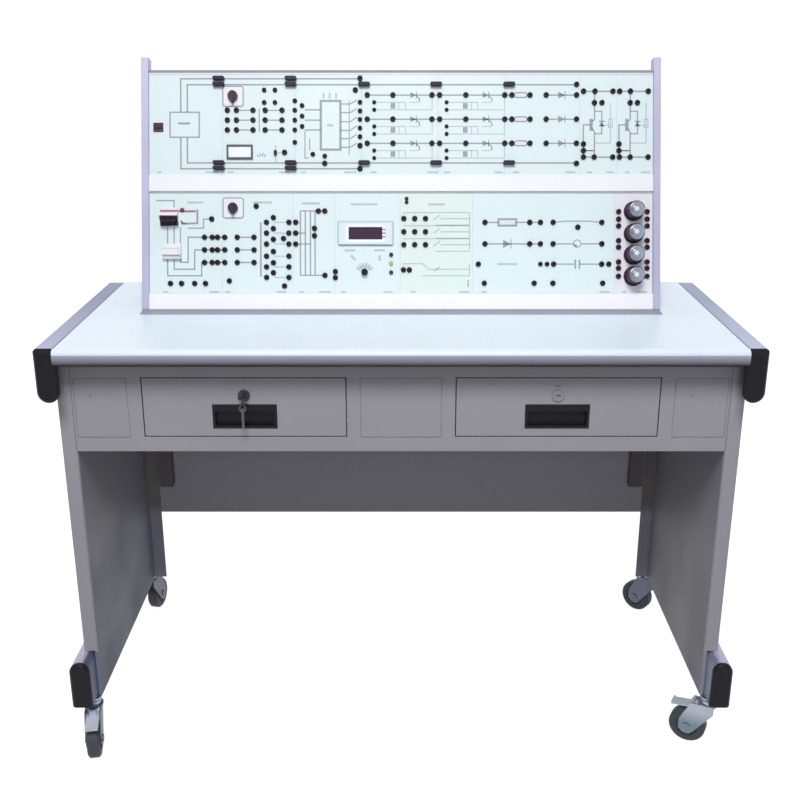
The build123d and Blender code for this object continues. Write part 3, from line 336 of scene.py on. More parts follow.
def surface(name, colour, roughness, metallic=0.0, variation=0.06, grain=900.0, bump=0.02,
            worn=None, wear=0.0, edge=0.0008, coat=0.0, specular=0.5,
            stretch=(1.0, 1.0, 1.0), fade=None):
    """A finish with patchy tone, fine grain, uneven gloss, worn edges and a fade across.

    Colours run from 0 to 255. A fade paints shade; it holds its axis, where it is full and gone,
    and its colour.
    """
    colour = linear(*colour)
    material, tree, shader = new_material(name)
    link = tree.links.new
    patches = noise(tree, patch_waves, 5.0)
    tone = ramp(tree, patches.outputs["Fac"], *patch_levels, shaded(colour, 1.0 - variation),
                shaded(colour, 1.0 + variation))
    result = tone.outputs["Color"]
    if fade is not None:
        axis, first, last, dark = fade
        place = add(tree, "ShaderNodeTexCoord")
        axes = add(tree, "ShaderNodeSeparateXYZ")
        link(place.outputs["Object"], axes.inputs["Vector"])
        share = span(tree, axes.outputs[axis], first, last, 1.0, 0.0)
        across = add(tree, "ShaderNodeMix", data_type="RGBA")
        link(share.outputs["Result"], across.inputs["Factor"])
        link(result, across.inputs["A"])
        across.inputs["B"].default_value = linear(*dark)
        result = across.outputs["Result"]
    fine = noise(tree, grain, 3.0, stretch)
    if wear > 0.0:
        mask, bevel = edge_mask(tree, edge)
        breakup = noise(tree, wear_waves, 6.0)
        worn_part = add(tree, "ShaderNodeMath", operation="MULTIPLY")
        broken = span(tree, breakup.outputs["Fac"], *wear_levels, 0.0, wear)
        link(mask.outputs["Result"], worn_part.inputs[0])
        link(broken.outputs["Result"], worn_part.inputs[1])
        blend = add(tree, "ShaderNodeMix", data_type="RGBA")
        link(worn_part.outputs["Value"], blend.inputs["Factor"])
        link(result, blend.inputs["A"])
        blend.inputs["B"].default_value = linear(*worn)
        result = blend.outputs["Result"]
    link(result, shader.inputs["Base Color"])
    gloss = span(tree, patches.outputs["Fac"], *patch_levels, roughness * (1.0 - gloss_spread),
                 min(roughness * (1.0 + gloss_spread), 1.0))
    link(gloss.outputs["Result"], shader.inputs["Roughness"])
    rough = add(tree, "ShaderNodeBump", Strength=bump, Distance=bump_depth)
    link(fine.outputs["Fac"], rough.inputs["Height"])
    if wear > 0.0:
        link(bevel.outputs["Normal"], rough.inputs["Normal"])
    link(rough.outputs["Normal"], shader.inputs["Normal"])
    shader.inputs["Metallic"].default_value = metallic
    shader.inputs["Coat Weight"].default_value = coat
    shader.inputs["Specular IOR Level"].default_value = specular
    return material


def laminate():
    """Pale bluish worktop laminate with a fine mottle and faint rub marks."""
    material, tree, shader = new_material("laminate")
    link = tree.links.new
    base = linear(224, 235, 245)
    mottle = noise(tree, 420.0, 6.0)
    cloud = noise(tree, 3.0, 3.0)
    first = ramp(tree, mottle.outputs["Fac"], 0.38, 0.62, shaded(base, 0.95), shaded(base, 1.03))
    second = ramp(tree, cloud.outputs["Fac"], 0.35, 0.65, (0.965, 0.975, 0.985, 1.0),
                  (1.0, 1.0, 1.0, 1.0))
    both = add(tree, "ShaderNodeMix", data_type="RGBA", blend_type="MULTIPLY", Factor=1.0)
    link(first.outputs["Color"], both.inputs["A"])
    link(second.outputs["Color"], both.inputs["B"])
    link(both.outputs["Result"], shader.inputs["Base Color"])
    rub = noise(tree, 30.0, 8.0, (1.0, 5.0, 1.0))
    gloss = span(tree, rub.outputs["Fac"], 0.35, 0.65, 0.3, 0.42)
    link(gloss.outputs["Result"], shader.inputs["Roughness"])
    rough = add(tree, "ShaderNodeBump", Strength=0.05, Distance=bump_depth)
    link(mottle.outputs["Fac"], rough.inputs["Height"])
    link(rough.outputs["Normal"], shader.inputs["Normal"])
    return material


finishes = {"laminate": laminate()}


def define(name, colour, roughness, family=None, **values):
    """Add a finish from the values that its family shares and its own."""
    finishes[name] = surface(name, colour, roughness, **{**(family or {}), **values})


paint = {"variation": 0.03, "grain": 1100.0, "bump": 0.1, "specular": 0.2}
worn_paint = {**paint, "worn": (196, 195, 203), "wear": 0.6, "edge": 0.0016}
brushed = {"variation": 0.04, "grain": 600.0, "stretch": (1.0, 0.02, 1.0), "bump": 0.08}
rail_top = {**brushed, "metallic": 0.2, "wear": 0.4, "specular": 0.3}
rail_inside = {**brushed, "metallic": 0.2, "variation": 0.06, "specular": 0.2}
steel = {"variation": 0.1, "grain": 300.0, "bump": 0.06, "wear": 0.6}
white = {"variation": 0.02, "bump": 0.06, "wear": 0.35}
panel = {"variation": 0.02, "grain": 1300.0, "bump": 0.05, "wear": 0.3}
tough = {"variation": 0.12, "grain": 1600.0, "bump": 0.12, "wear": 0.5, "specular": 0.2}
moulded = {"variation": 0.1, "grain": 1200.0, "bump": 0.08, "wear": 0.5, "specular": 0.3}
collar = {"grain": 1500.0, "bump": 0.06, "wear": 0.5, "edge": 0.0004, "specular": 0.3}

# The record's slots
define("rail_aluminium", (182, 181, 207), 0.4, brushed, metallic=0.25, worn=(206, 208, 222),
       wear=0.5, specular=0.4)
define("black_plastic", (24, 23, 30), 0.52, tough, worn=(70, 70, 78))
define("grey_paint", (164, 162, 170), 0.55, worn_paint)
define("zinc_steel", (172, 176, 187), 0.36, steel, metallic=0.9, worn=(226, 228, 232))
define("caster_rubber", (60, 65, 73), 0.62, variation=0.16, bump=0.15, worn=(104, 106, 112),
       wear=0.6)
define("white_rail", (236, 237, 242), 0.4, white, worn=(205, 205, 212))
define("mint_panel", (215, 231, 234), 0.46, panel, worn=(190, 200, 204))
define("circuit_board", (52, 96, 62), 0.42, variation=0.1, grain=500.0)
define("white_plastic", (228, 229, 232), 0.38, panel, variation=0.03, worn=(206, 206, 208))
define("grey_knob", (46, 16, 46), 0.44, moulded, worn=(92, 74, 92), specular=0.25)
define("rheostat_ceramic", (206, 196, 180), 0.6, variation=0.08)
define("grey_plastic", (213, 226, 232), 0.4, panel, variation=0.04, bump=0.06,
       worn=(180, 186, 190))
define("dark_glass", (56, 20, 56), 0.2, grain=700.0, bump=0.01, coat=0.4)
define("lamp_plastic", (38, 14, 38), 0.24, coat=0.5)
define("red_plastic", (66, 26, 48), 0.4, specular=0.3)

# Small parts of the console, some with painted light and shade
for name, colour in (("trace_ink", (146, 153, 162)), ("faint_ink", (180, 189, 196)),
                     ("dark_ink", (112, 115, 126)), ("maroon_ink", (120, 62, 84))):
    define(name, colour, 0.5, variation=0.08)
# Violet grey for the fuse outlines and for the painted shade around the rotary switch plates.
define("plate_line", (146, 138, 166), 0.5)
# Grey for the lines of painted shade on the console's front.
define("shade_line_grey", (140, 142, 152), 0.6, variation=0.08)
define("socket_black", (20, 16, 26), 0.4, collar, variation=0.14, worn=(66, 60, 72))
define("socket_maroon", (52, 16, 38), 0.38, collar, variation=0.12, worn=(98, 60, 80))
define("socket_sleeve", (44, 34, 40), 0.5, metallic=0.3, variation=0.12, specular=0.2)
# Knob faces darken towards their left side: painted shade across each face.
define("shaded_knob_disc", (156, 170, 186), 0.3, variation=0.08, grain=1400.0, bump=0.04,
       worn=(206, 204, 214), wear=0.4, edge=0.0004, coat=0.3,
       fade=("X", 0.483, 0.512, (114, 98, 122)))
# Pale for the knobs' pointer marks and for their bosses, where the paleness is a painted
# highlight.
define("pale_mark_and_highlight", (214, 222, 226), 0.5, variation=0.05)
define("switch_maroon", (52, 18, 40), 0.42, moulded, worn=(112, 82, 100))
define("switch_violet", (36, 22, 58), 0.42, moulded, worn=(88, 76, 104))
define("breaker_dark", (44, 24, 40), 0.46, moulded, variation=0.12, wear=0.0)
define("plug_violet", (42, 30, 56), 0.5, tough, worn=(84, 76, 94))
define("panel_green", (216, 231, 225), 0.46, panel, worn=(190, 200, 196))
define("panel_lilac", (224, 224, 233), 0.46, panel, worn=(196, 196, 206))
define("screen_white", (240, 243, 248), 0.3, variation=0.02, bump=0.01, coat=0.2)
define("screen_rim", (62, 56, 76), 0.42, variation=0.08, grain=1300.0, bump=0.06,
       worn=(140, 140, 150), wear=0.4)
define("lamp_yellow", (182, 180, 112), 0.24, coat=0.5)
define("lamp_black", (14, 22, 28), 0.24, variation=0.1, coat=0.5)
define("strip_red", (168, 98, 132), 0.42, variation=0.08)
define("button_red", (118, 30, 62), 0.34, variation=0.08, coat=0.2)
define("terminal_block", (212, 206, 216), 0.5, variation=0.12, grain=700.0, bump=0.1)
define("cream_insert", (214, 204, 196), 0.44, variation=0.04)
# A dimmer copy of the white rails: painted shade on the top rail, and the white print's own
# colour.
define("dim_white_print_and_shade", (218, 221, 228), 0.4, white, worn=(196, 198, 206))
define("foot_grey", (154, 156, 172), 0.5, grain=700.0, bump=0.1, worn=(176, 177, 192), wear=0.5,
       edge=0.0006)
define("shade_gap", (104, 104, 118), 0.7, variation=0.12, grain=700.0)

# Parts of the bench, some with painted light and shade
define("lock_dark", (62, 61, 70), 0.42, steel, grain=500.0, metallic=0.3, worn=(128, 128, 138))
define("key_steel", (92, 90, 100), 0.38, steel, grain=500.0, metallic=0.6, worn=(168, 168, 176))
define("lock_satin", (146, 145, 154), 0.5, metallic=0.1, grain=500.0, bump=0.06,
       worn=(184, 184, 192), wear=0.5)
# A darker copy of the laminate for the tabletop's edges, darkest towards the bottom: painted shade
# on the rounded front.
define("tabletop_edge_shade", (180, 180, 202), 0.6, variation=0.05, grain=500.0, bump=0.1,
       fade=("Z", 0.889, 0.911, (60, 59, 62)))
define("nose_shade", (70, 68, 62), 0.7, variation=0.08, grain=500.0, bump=0.1, specular=0.1)
define("seam_line", (116, 120, 148), 0.6, variation=0.08)
define("rail_shade", (180, 183, 208), 0.42, rail_top, worn=(196, 200, 216),
       fade=("Y", 0.12, -0.32, (140, 150, 176)))
define("rail_shade_left", (172, 174, 200), 0.42, rail_top, worn=(190, 194, 210),
       fade=("Y", 0.05, -0.32, (128, 136, 165)))
# Darker copies of the rail aluminium for the foot rails' inner faces, darkest on the left: painted
# shade.
define("rail_inside_shade_left", (100, 108, 134), 0.46, rail_inside)
define("rail_inside_shade_right", (138, 144, 170), 0.46, rail_inside)
# Copies of the grey paint for the legs' inner faces, darker towards the floor and more so on the
# left: painted shade.
define("inner_leg_shade_left", (164, 162, 170), 0.55, worn_paint,
       fade=("Z", 0.25, 0.55, (130, 134, 149)))
define("inner_leg_shade_right", (164, 162, 170), 0.55, worn_paint,
       fade=("Z", 0.25, 0.55, (152, 151, 160)))
# Darker, bluer copies of the grey paint for the legs' low front faces, darker on the left: painted
# shade.
define("low_front_shade_left", (124, 132, 155), 0.55, paint)
define("low_front_shade_right", (150, 152, 165), 0.55, paint)
# The legs' inner lips are dark above and paler and bluer below: a painted shadow from the drawer
# case.
define("lip_shadow_fade", (126, 122, 122), 0.6, paint, variation=0.04, specular=0.1,
       fade=("Z", 0.3, 0.33, (158, 157, 172)))
# The brackets' front faces are coloured darker than the modesty panel.
define("bracket_dark", (110, 100, 104), 0.6, paint, variation=0.05, specular=0.1)
# Copies of the zinc for the caster forks, darker at the left and rear casters and towards the foot
# of the right ones: painted shade.
define("fork_left", (96, 100, 120), 0.42, steel, metallic=0.6, worn=(178, 182, 196))
define("fork_right", (172, 176, 187), 0.4, steel, metallic=0.8, worn=(214, 216, 222),
       fade=("Z", 0.05, 0.085, (116, 132, 142)))
define("fork_rear", (104, 108, 124), 0.42, steel, metallic=0.6, worn=(170, 174, 188))
# A paler copy of the zinc for the front pedals: painted reflection of the bright surround.
define("pedal_painted_reflection", (206, 211, 226), 0.4, metallic=0.1, grain=500.0, bump=0.06,
       worn=(228, 230, 236), wear=0.5)

slots = {entry["node"]: entry["material_slot"] for entry in frame["record"]["subparts"]}
for name, node in nodes.items():
    node.data.materials.clear()
    node.data.materials.append(finishes[slots[name]])

# Colours of small parts that share a node, and painted shade on some faces; limits in millimetres
# and parts of a direction

level = 0.1
inward = 0.4
mostly = 0.5
square = 0.9
screen_side = -300.0
lamp_rows = (95.0, 114.0)
terminal_top = 121.8
terminal_front = 9.0
rocker_side = -500.0
breaker_split = 205.0
green_panel = (3.0, 150.0)
lilac_panel = 458.0
stud_front = -280.3
spare_top = 790.0
leg_foot = 232.0
leg_side = 649.0
panel_front = 254.5
bracket_low = 390.0
bracket_near = 575.0
lock_x = 310.0
lock_height = 811.0
lock_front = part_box("lock_right")[0].y / millimetre
keyhole_half = (5.2, 2.2)
gap_top = 6.5

tint_console("display_windows", "screen_white", lambda at, facing: at.x < screen_side)
tint_console("display_frames", "screen_rim", lambda at, facing: at.x < screen_side)
tint_console("lamps", "lamp_yellow", lambda at, facing: lamp_rows[0] < at.y < lamp_rows[1])
tint_console("lamps", "lamp_black", lambda at, facing: at.y < lamp_rows[0])
tint_console("contactor", "terminal_block",
             lambda at, facing: at.y < terminal_top and at.z < terminal_front)
tint_console("switch_plates", "red_plastic", lambda at, facing: at.x < rocker_side)
tint_console("breaker_body", "breaker_dark",
             lambda at, facing: at.y < breaker_split and at.z > 0.0)
tint("breaker_toggle", "breaker_dark")
tint("link_plugs", "plug_violet")
tint_console("lower_modules", "panel_green",
             lambda at, facing: green_panel[0] < at.x < green_panel[1])
tint_console("lower_modules", "panel_lilac", lambda at, facing: at.x > lilac_panel)
tint("switch_knob_upper", "switch_maroon")
tint("switch_knob_lower", "switch_violet")
tint("lock_left", "lock_dark")
tint("lock_key", "lock_dark")
tint("lock_key", "key_steel", lambda at, facing: at.z < spare_top)
tint("lock_right", "lock_satin")
# The keyhole's recess gets the dark lock colour: painted shade inside the hole.
tint("lock_right", "lock_dark", lambda at, facing: (
    at.y > lock_front + 1.0 and abs(at.x - lock_x) < keyhole_half[0]
    and abs(at.z - lock_height) < keyhole_half[1]))
# Painted shade on the tabletop's edges and underside.
tint("tabletop", "tabletop_edge_shade", lambda at, facing: facing.z < level)
tint("tabletop", "nose_shade", lambda at, facing: facing.z < -mostly)
tint("apron_fillers", "lock_satin", lambda at, facing: at.y < stud_front)
tint("side_rail_left", "rail_shade_left", lambda at, facing: facing.z > mostly)
tint("side_rail_right", "rail_shade", lambda at, facing: facing.z > mostly)
tint("foot_rail_left", "rail_inside_shade_left", lambda at, facing: facing.x > inward)
tint("foot_rail_right", "rail_inside_shade_right", lambda at, facing: facing.x < -inward)
for side in ("left", "right"):
    part = "leg_" + side
    tint(part, "inner_leg_shade_" + side,
         lambda at, facing: abs(facing.x) > square and facing.x * at.x < 0.0)
    tint(part, "low_front_shade_" + side, lambda at, facing: facing.y < -mostly and at.z < leg_foot)
    tint(part, "lip_shadow_fade", lambda at, facing: facing.y < -mostly and abs(at.x) < leg_side)
    tint("fork_front_" + side, "fork_" + side)
    tint("fork_rear_" + side, "fork_rear")
    tint("pedal_front_" + side, "pedal_painted_reflection")
tint("modesty_panel", "bracket_dark", lambda at, facing: (
    at.y < panel_front and at.z > bracket_low and abs(at.x) > bracket_near))
for part in ("console_rail_bottom", "console_side_left", "console_side_right"):
    tint_console(part, "shade_gap", lambda at, facing: at.y < gap_top and facing.y < square)

# Printed diagrams on the module panels, with painted shade around the rotary plates; places in
# console millimetres

ink_height = 0.15
ink_sink = 0.05
ink_spread = 1.6
branch_rows = (464.5, 413.0, 361.5)
phase_rows = (432.0, 411.0, 390.0)
mains_rows = (160.5, 133.5, 106.5)
load_rows = (192.4, 146.4, 103.0)
tap_rows = (192.5, 169.5, 146.0, 120.0, 97.0, 74.5)
selector_x = -360.0
selector_rows = (461.5, 223.0)
dial_place = (-78.2, 85.6)
slider_place = (-299.0, 326.0)


class Print:
    """Lines and marks of one ink on the panels."""

    def __init__(self, name, ink):
        self.shape = bmesh.new()
        self.name = name
        self.ink = ink
        self.low = panel_face - ink_sink
        self.high = panel_face + ink_height

    def line(self, width, *points, closed=False):
        ribbon(self.shape, points, width * ink_spread, self.low, self.high, closed)

    def level(self, width, slope, *spans):
        for x0, x1 in spans:
            self.line(width, (x0, slope), (x1, slope))

    def upright(self, width, x, *spans):
        for s0, s1 in spans:
            self.line(width, (x, s0), (x, s1))

    def fill(self, outline):
        prism(self.shape, outline, self.low, self.high)

    def ray(self, width, centre, turn, near, far):
        self.line(width, *(arc(centre, reach, turn, turn, 1)[0] for reach in (near, far)))

    def bar(self, x0, x1, slope, height):
        self.fill(rounded(x0, slope - height / 2.0, x1, slope + height / 2.0, height * 0.4, 2))

    def finish(self):
        on_console(self.shape, self.name, self.ink)


def diode(ink, x, slope, size, upright=False):
    """Filled triangle with its bar."""
    half = size / 2.0

    def placed(along, across):
        return (x + across, slope + along) if upright else (x + along, slope + across)
    ink.fill([placed(-half, -half * 0.9), placed(half * 0.7, 0.0), placed(-half, half * 0.9)])
    ink.line(1.2, placed(half * 0.7, -half), placed(half * 0.7, half))


def resistor(ink, x0, x1, slope, height, width):
    """Outlined resistor."""
    ink.line(width, *rectangle(x0, slope - height / 2.0, x1, slope + height / 2.0), closed=True)


traces = Print("printed_traces", "trace_ink")
faint = Print("printed_fine_lines", "faint_ink")
dark = Print("printed_symbols", "dark_ink")
maroon = Print("printed_red_lines", "maroon_ink")
frames = Print("fuse_print_and_plate_shade", "plate_line")
whites = Print("printed_white", "dim_white_print_and_shade")


def print_supply():
    """Supply box at the left of the upper row and the two bus pairs."""
    low, high = 374.5, 427.8
    traces.line(1.8, *rectangle(-495.0, low, -432.5, high), closed=True)
    traces.bar(-478.0, -452.0, 404.0, 4.4)
    for edge, near, far in ((high, 486.6, 499.3), (low, 319.5, 307.2)):
        traces.line(2.0, (-472.0, edge), (-472.0, far), (-88.0, far))
        traces.line(2.0, (-458.0, edge), (-458.0, near), (375.5, near))


def print_phases():
    """Phase lines, bracket and the controls' marks of the second and third module."""
    for slope in phase_rows:
        traces.level(1.6, slope, (-352.5, -317.0), (-291.0, -255.0))
    traces.upright(1.4, -304.0, (436.0, 386.0))
    faint.upright(1.6, -269.0, (358.0, 322.0))
    faint.line(1.2, (-269.0, 341.0), (-249.5, 342.0))
    for turn in (130.0, 104.0, 78.0, 52.0):
        dark.ray(1.1, slider_place, turn, 8.0, 15.0)


def print_chip():
    """Driver chip outline with its pins."""
    left, right, bus = -172.0, -130.0, -206.0
    traces.line(3.0, *rectangle(left, 348.0, right, 452.0), closed=True)
    for slope in (433.0, 411.0, 390.0):
        traces.level(1.8, slope, (bus, left))
    for slope, target in ((445.5, 449.0), (427.0, 430.5), (407.5, 412.5), (389.0, 394.0),
                          (371.5, 375.5), (353.0, 356.5)):
        traces.level(1.6, slope, (right, -111.0))
        traces.line(1.6, (-109.0, slope), (-95.0, target + 5.0))
    for x in (-166.0, -153.0, -139.0):
        faint.upright(2.6, x, (457.0, 469.0))
    traces.upright(1.2, -111.0, (453.0, 336.0))
    traces.line(1.4, (bus, 388.0), (bus, 330.0), (-198.0, 330.0))
    traces.upright(1.4, -196.0, (372.0, 346.0))
    faint.bar(-159.0, -145.0, 400.0, 5.0)


def print_thyristor(left, slope):
    """One thyristor branch with its gate circuit."""
    low, high = slope - 31.5, slope - 15.5
    traces.level(1.8, slope, (left, left + 155.0))
    diode(traces, left + 100.0, slope, 15.0)
    dark.line(1.2, (left + 104.0, slope), (left + 112.0, slope - 8.0),
              (left + 112.0, slope - 15.0))
    faint.line(1.2, (left + 20.0, high), (left + 82.0, high), (left + 82.0, low))
    faint.line(1.2, (left + 20.0, low), (left + 139.0, low), (left + 139.0, slope))
    faint.level(1.2, high, (left + 90.0, left + 110.0))
    traces.fill(rectangle(left + 50.0, low + 2.5, left + 60.0, high - 1.5))
    faint.upright(1.2, left + 68.0, (high, low))


def print_fuses_and_diodes():
    """Fuse capsules and diodes right of the thyristors."""
    for slope in branch_rows:
        frames.level(1.6, slope, (237.0, 243.0), (270.0, 276.0))
        frames.line(1.5, *rounded(243.0, slope - 5.2, 270.0, slope + 5.2, 4.4), closed=True)
        whites.fill(rounded(244.6, slope - 3.6, 268.4, slope + 3.6, 3.2))
        traces.level(1.8, slope, (310.5, 375.5))
        diode(traces, 345.0, slope, 17.0)


def print_transistor(left):
    """One transistor branch with its diode and snubber."""
    stem, branch, snubber = left + 24.0, left + 39.5, left + 58.0
    top, foot = 472.5, 332.0
    traces.level(2.0, top, (left, left + 63.0))
    traces.level(2.0, foot, (left, left + 63.0))
    traces.upright(1.8, stem, (top, 412.0), (386.0, foot))
    traces.line(1.8, (left, foot), (left, 401.0), (left + 15.0, 401.0))
    for plate in (left + 15.0, left + 18.5):
        traces.upright(2.2, plate, (388.0, 414.0))
    traces.line(1.6, (left + 18.5, 408.0), (stem, 412.0))
    traces.line(1.6, (left + 18.5, 394.0), (stem, 386.0))
    maroon.level(1.6, 345.8, (left, stem))
    traces.line(1.6, (stem, 430.0), (branch, 430.0), (branch, 382.0), (stem, 382.0))
    diode(dark, branch, 404.0, 13.0, upright=True)
    faint.level(1.2, 400.0, (branch, left + 60.0))
    faint.line(1.4, (snubber, 448.0), (snubber, 362.0), (stem, 362.0))
    resistor(faint, snubber - 4.0, snubber + 4.0, 404.0, 18.0, 1.2)


def print_mains():
    """Mains lines from the breaker to the transformer taps."""
    traces.line(1.6, (-525.0, 239.0), (-487.0, 239.0), (-487.0, 224.0))
    traces.line(2.6, (-437.0, 220.0), (-437.0, 190.5), (-472.0, 189.5))
    dark.line(2.4, (-473.0, 196.0), (-468.0, 190.0), (-462.0, 190.0))
    traces.line(1.6, (-458.0, 180.0), (-424.0, 180.0), (-424.0, 199.5), (-406.0, 199.5))
    for x, drop, turn, slope in zip((-473.5, -487.0, -501.0), (107.0, 92.0, 78.0),
                                    (-457.0, -443.0, -428.0), mains_rows):
        traces.upright(1.6, x, (182.0, 146.0))
        traces.line(1.8, (x, 113.5), (x, drop), (turn, drop), (turn, slope), (-405.0, slope))
        maroon.level(1.6, slope, (-393.5, -378.0))
        traces.level(1.8, slope, (-351.3, -315.3))


def print_taps():
    """Transformer core mark, tap lines and the four bus lines."""
    buses = (-216.0, -205.5, -194.5, -184.5)
    traces.upright(2.2, -301.0, (192.5, 76.0))
    for slope in tap_rows:
        faint.level(1.6, slope, (-272.0, -240.5))
    for x, slope in zip(buses, tap_rows[:3]):
        traces.level(1.6, slope, (-225.9, x))
    for x in buses:
        traces.upright(1.8, x, (217.0, 78.5))
    traces.level(1.6, 217.0, (buses[0], buses[-1]))
    maroon.line(1.8, (buses[-1], 217.0), (-163.5, 216.7))
    traces.level(1.6, 79.0, (buses[0], -163.5))


def print_relays():
    """Relay contacts with their folded lines."""
    left, blade, side = 4.0, (70.0, 84.0), 147.0
    for slope in (200.5, 172.3, 144.5):
        faint.level(1.6, slope, (85.0, side))
        faint.line(1.4, (left, slope + 13.0), (side, slope + 13.0), (side, slope - 12.0))
        faint.line(1.6, (blade[0], slope - 3.0), (blade[1], slope + 8.0))
        faint.level(1.4, slope - 14.0, (74.0, side))
    faint.line(1.4, (left, 104.0), (46.0, 104.0), (60.0, 92.0), (side, 92.0))
    faint.line(1.6, (blade[0], 87.0), (blade[1], 98.0))
    faint.line(1.4, (46.0, 78.0), (side, 78.0), (side, 104.0))
    traces.upright(1.6, 144.0, (69.0, 54.0))


def print_loads():
    """Resistor, diode, switch, lamp and capacitor of the load modules."""
    top, middle, foot = load_rows
    left, right = 325.9, 430.3
    traces.level(1.8, top, (179.8, 209.0), (247.0, 298.8))
    resistor(traces, 209.0, 247.0, top, 14.0, 2.6)
    whites.fill(rectangle(211.6, top - 4.6, 244.4, top + 4.6))
    traces.level(1.8, middle, (179.8, 298.8))
    diode(traces, 229.0, middle, 20.0)
    traces.line(1.5, (left, top), (352.0, 195.0), (404.0, 195.0), (right, top))
    traces.level(1.6, middle, (left, 370.0), (386.0, right))
    traces.line(1.3, *arc((378.0, 147.0), 8.0, 0.0, 348.0, 16))
    dark.line(2.0, (370.0, 144.0), (378.0, 142.0))
    traces.level(1.6, foot, (325.7, 372.0), (384.0, 430.2))
    for x in (374.0, 383.0):
        traces.upright(2.2, x, (93.0, 113.0))


def print_scale():
    """Marks fanned out above the small dial, and one for each of its end switches."""
    for turn in (30.0, 54.0, 78.0, 102.0, 126.0, 150.0):
        faint.ray(3.0, dial_place, turn, 10.0, 20.0)
    faint.line(3.4, (-108.0, 122.0), (-98.0, 112.0))
    faint.line(3.4, (-47.0, 122.0), (-45.0, 110.0))


def print_plate_lines():
    """Thin lines around the rotary switches as painted shade at their plates' edges, and a thin
    frame around the meter.
    """
    half = 21.8
    # Painted shade at the edges of each rotary switch plate.
    for slope in selector_rows:
        frames.line(1.4, *rounded(selector_x - half, slope - half, selector_x + half,
                                  slope + half, 5.0), closed=True)
    faint.line(2.0, *rounded(-135.6, 142.4, -16.8, 194.0, 3.0), closed=True)


def print_labels():
    """Plain bars where captions would stand."""
    under_upper = (
        (-524.0, -513.0), (-420.0, -392.0), (-372.0, -358.0), (-262.0, -238.0),
        (-216.0, -204.0), (-122.0, -96.0), (-66.0, -52.0), (56.0, 80.0), (92.0, 106.0),
        (200.0, 218.0), (240.0, 254.0), (352.0, 374.0), (398.0, 410.0), (440.0, 456.0),
        (480.0, 490.0), (514.0, 534.0))
    under_lower = (
        (-512.0, -500.0), (-412.0, -390.0), (-378.0, -366.0), (-268.0, -246.0),
        (-220.0, -208.0), (-176.0, -150.0), (-130.0, -118.0), (-38.0, -18.0), (20.0, 32.0),
        (124.0, 148.0), (172.0, 184.0), (426.0, 448.0), (474.0, 484.0), (506.0, 528.0))
    for row, slope in ((under_upper, 299.5), (under_lower, 43.5)):
        for x0, x1 in row:
            faint.bar(x0, x1, slope, 3.6)
    for x0, x1, slope in ((-213.0, -174.0, 233.0), (-108.0, -50.0, 231.0), (57.0, 94.0, 231.0),
                          (206.0, 250.0, 103.0), (-122.0, -98.0, 132.5), (-58.0, -34.0, 132.5),
                          (-318.0, -277.0, 235.0), (-459.0, -424.0, 235.0)):
        faint.bar(x0, x1, slope, 4.4)


print_supply()
print_phases()
print_chip()
for row in branch_rows:
    for start in (-72.5, 82.5):
        print_thyristor(start, row)
print_fuses_and_diodes()
for start in (390.5, 467.0):
    print_transistor(start)
print_mains()
print_taps()
print_relays()
print_loads()
print_scale()
print_plate_lines()
print_labels()
for ink in (traces, faint, dark, maroon, frames, whites):
    ink.finish()

# Sockets, one collar with its bore and sleeve for each solid of the node

# Zones of dark red and of smaller sockets: x from, x to, slope from, slope to
maroon_zones = ((455.0, 540.0, 60.0, 230.0), (-150.0, -130.0, 60.0, 95.0),
                (0.0, 20.0, 228.0, 250.0), (-200.0, -150.0, 205.0, 230.0))
small_zones = ((-300.0, -262.0, 442.0, 482.0), (-234.0, -204.0, 355.0, 472.0),
               (-95.0, -80.0, 358.0, 462.0), (-198.0, -158.0, 325.0, 350.0),
               (295.0, 325.0, 98.0, 108.0))
small_share = 0.86
socket_height = 4.4
gate_radius = 4.5
gate_height = 2.9
gate_share = 1.15
relay_pair = ((11.8, 243.0), (11.8, 235.2))
relay_radius = 4.2
collar_sides = 20
sleeve_sides = 12


def make_collar(shape, place, radius, height):
    """Collar with a rounded rim, a funnel and the bore."""
    base = panel_face + 0.05
    top = base + height
    lathe(shape, place, [
        (radius, base), (radius, top - 1.2), (radius - 0.4, top - 0.35), (radius - 1.1, top),
        (radius * 0.62, top), (radius * 0.5, top - 0.9), (radius * 0.44, top - 1.6),
        (radius * 0.44, base + 0.4)], collar_sides)


def make_sleeve(shape, place, bore, height):
    """Metal sleeve in a collar's bore."""
    base = panel_face + 0.5
    rim = base + height * 0.45
    lathe(shape, place, [(bore, base), (bore, rim), (bore * 0.72, rim),
                         (bore * 0.72, base + 0.1)], sleeve_sides)


def make_sockets():
    """All sockets as near-black and dark red collars, and their sleeves."""
    def within(zones, at):
        return any(x0 < at.x < x1 and s0 < at.y < s1 for x0, x1, s0, s1 in zones)
    black, red, sleeves = bmesh.new(), bmesh.new(), bmesh.new()
    for low, high in islands("sockets"):
        middle = to_console @ ((low + high) / 2.0)
        radius = (high.x - low.x) / millimetre / 2.0
        height = socket_height
        if radius < gate_radius:
            radius *= gate_share
            height = gate_height
        elif within(small_zones, middle):
            radius *= small_share
        place = (middle.x, middle.y)
        make_collar(red if within(maroon_zones, middle) else black, place, radius, height)
        make_sleeve(sleeves, place, radius * 0.43, height)
    for place in relay_pair:
        make_collar(red, place, relay_radius, gate_height)
    collars = on_console(black, "socket_collars_black", "socket_black")
    on_console(red, "socket_collars_red", "socket_maroon")
    on_console(sleeves, "socket_sleeves", "socket_sleeve")
    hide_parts("sockets")


make_sockets()

# Knob faces, pointer marks, trim, painted shade lines and the console's foot

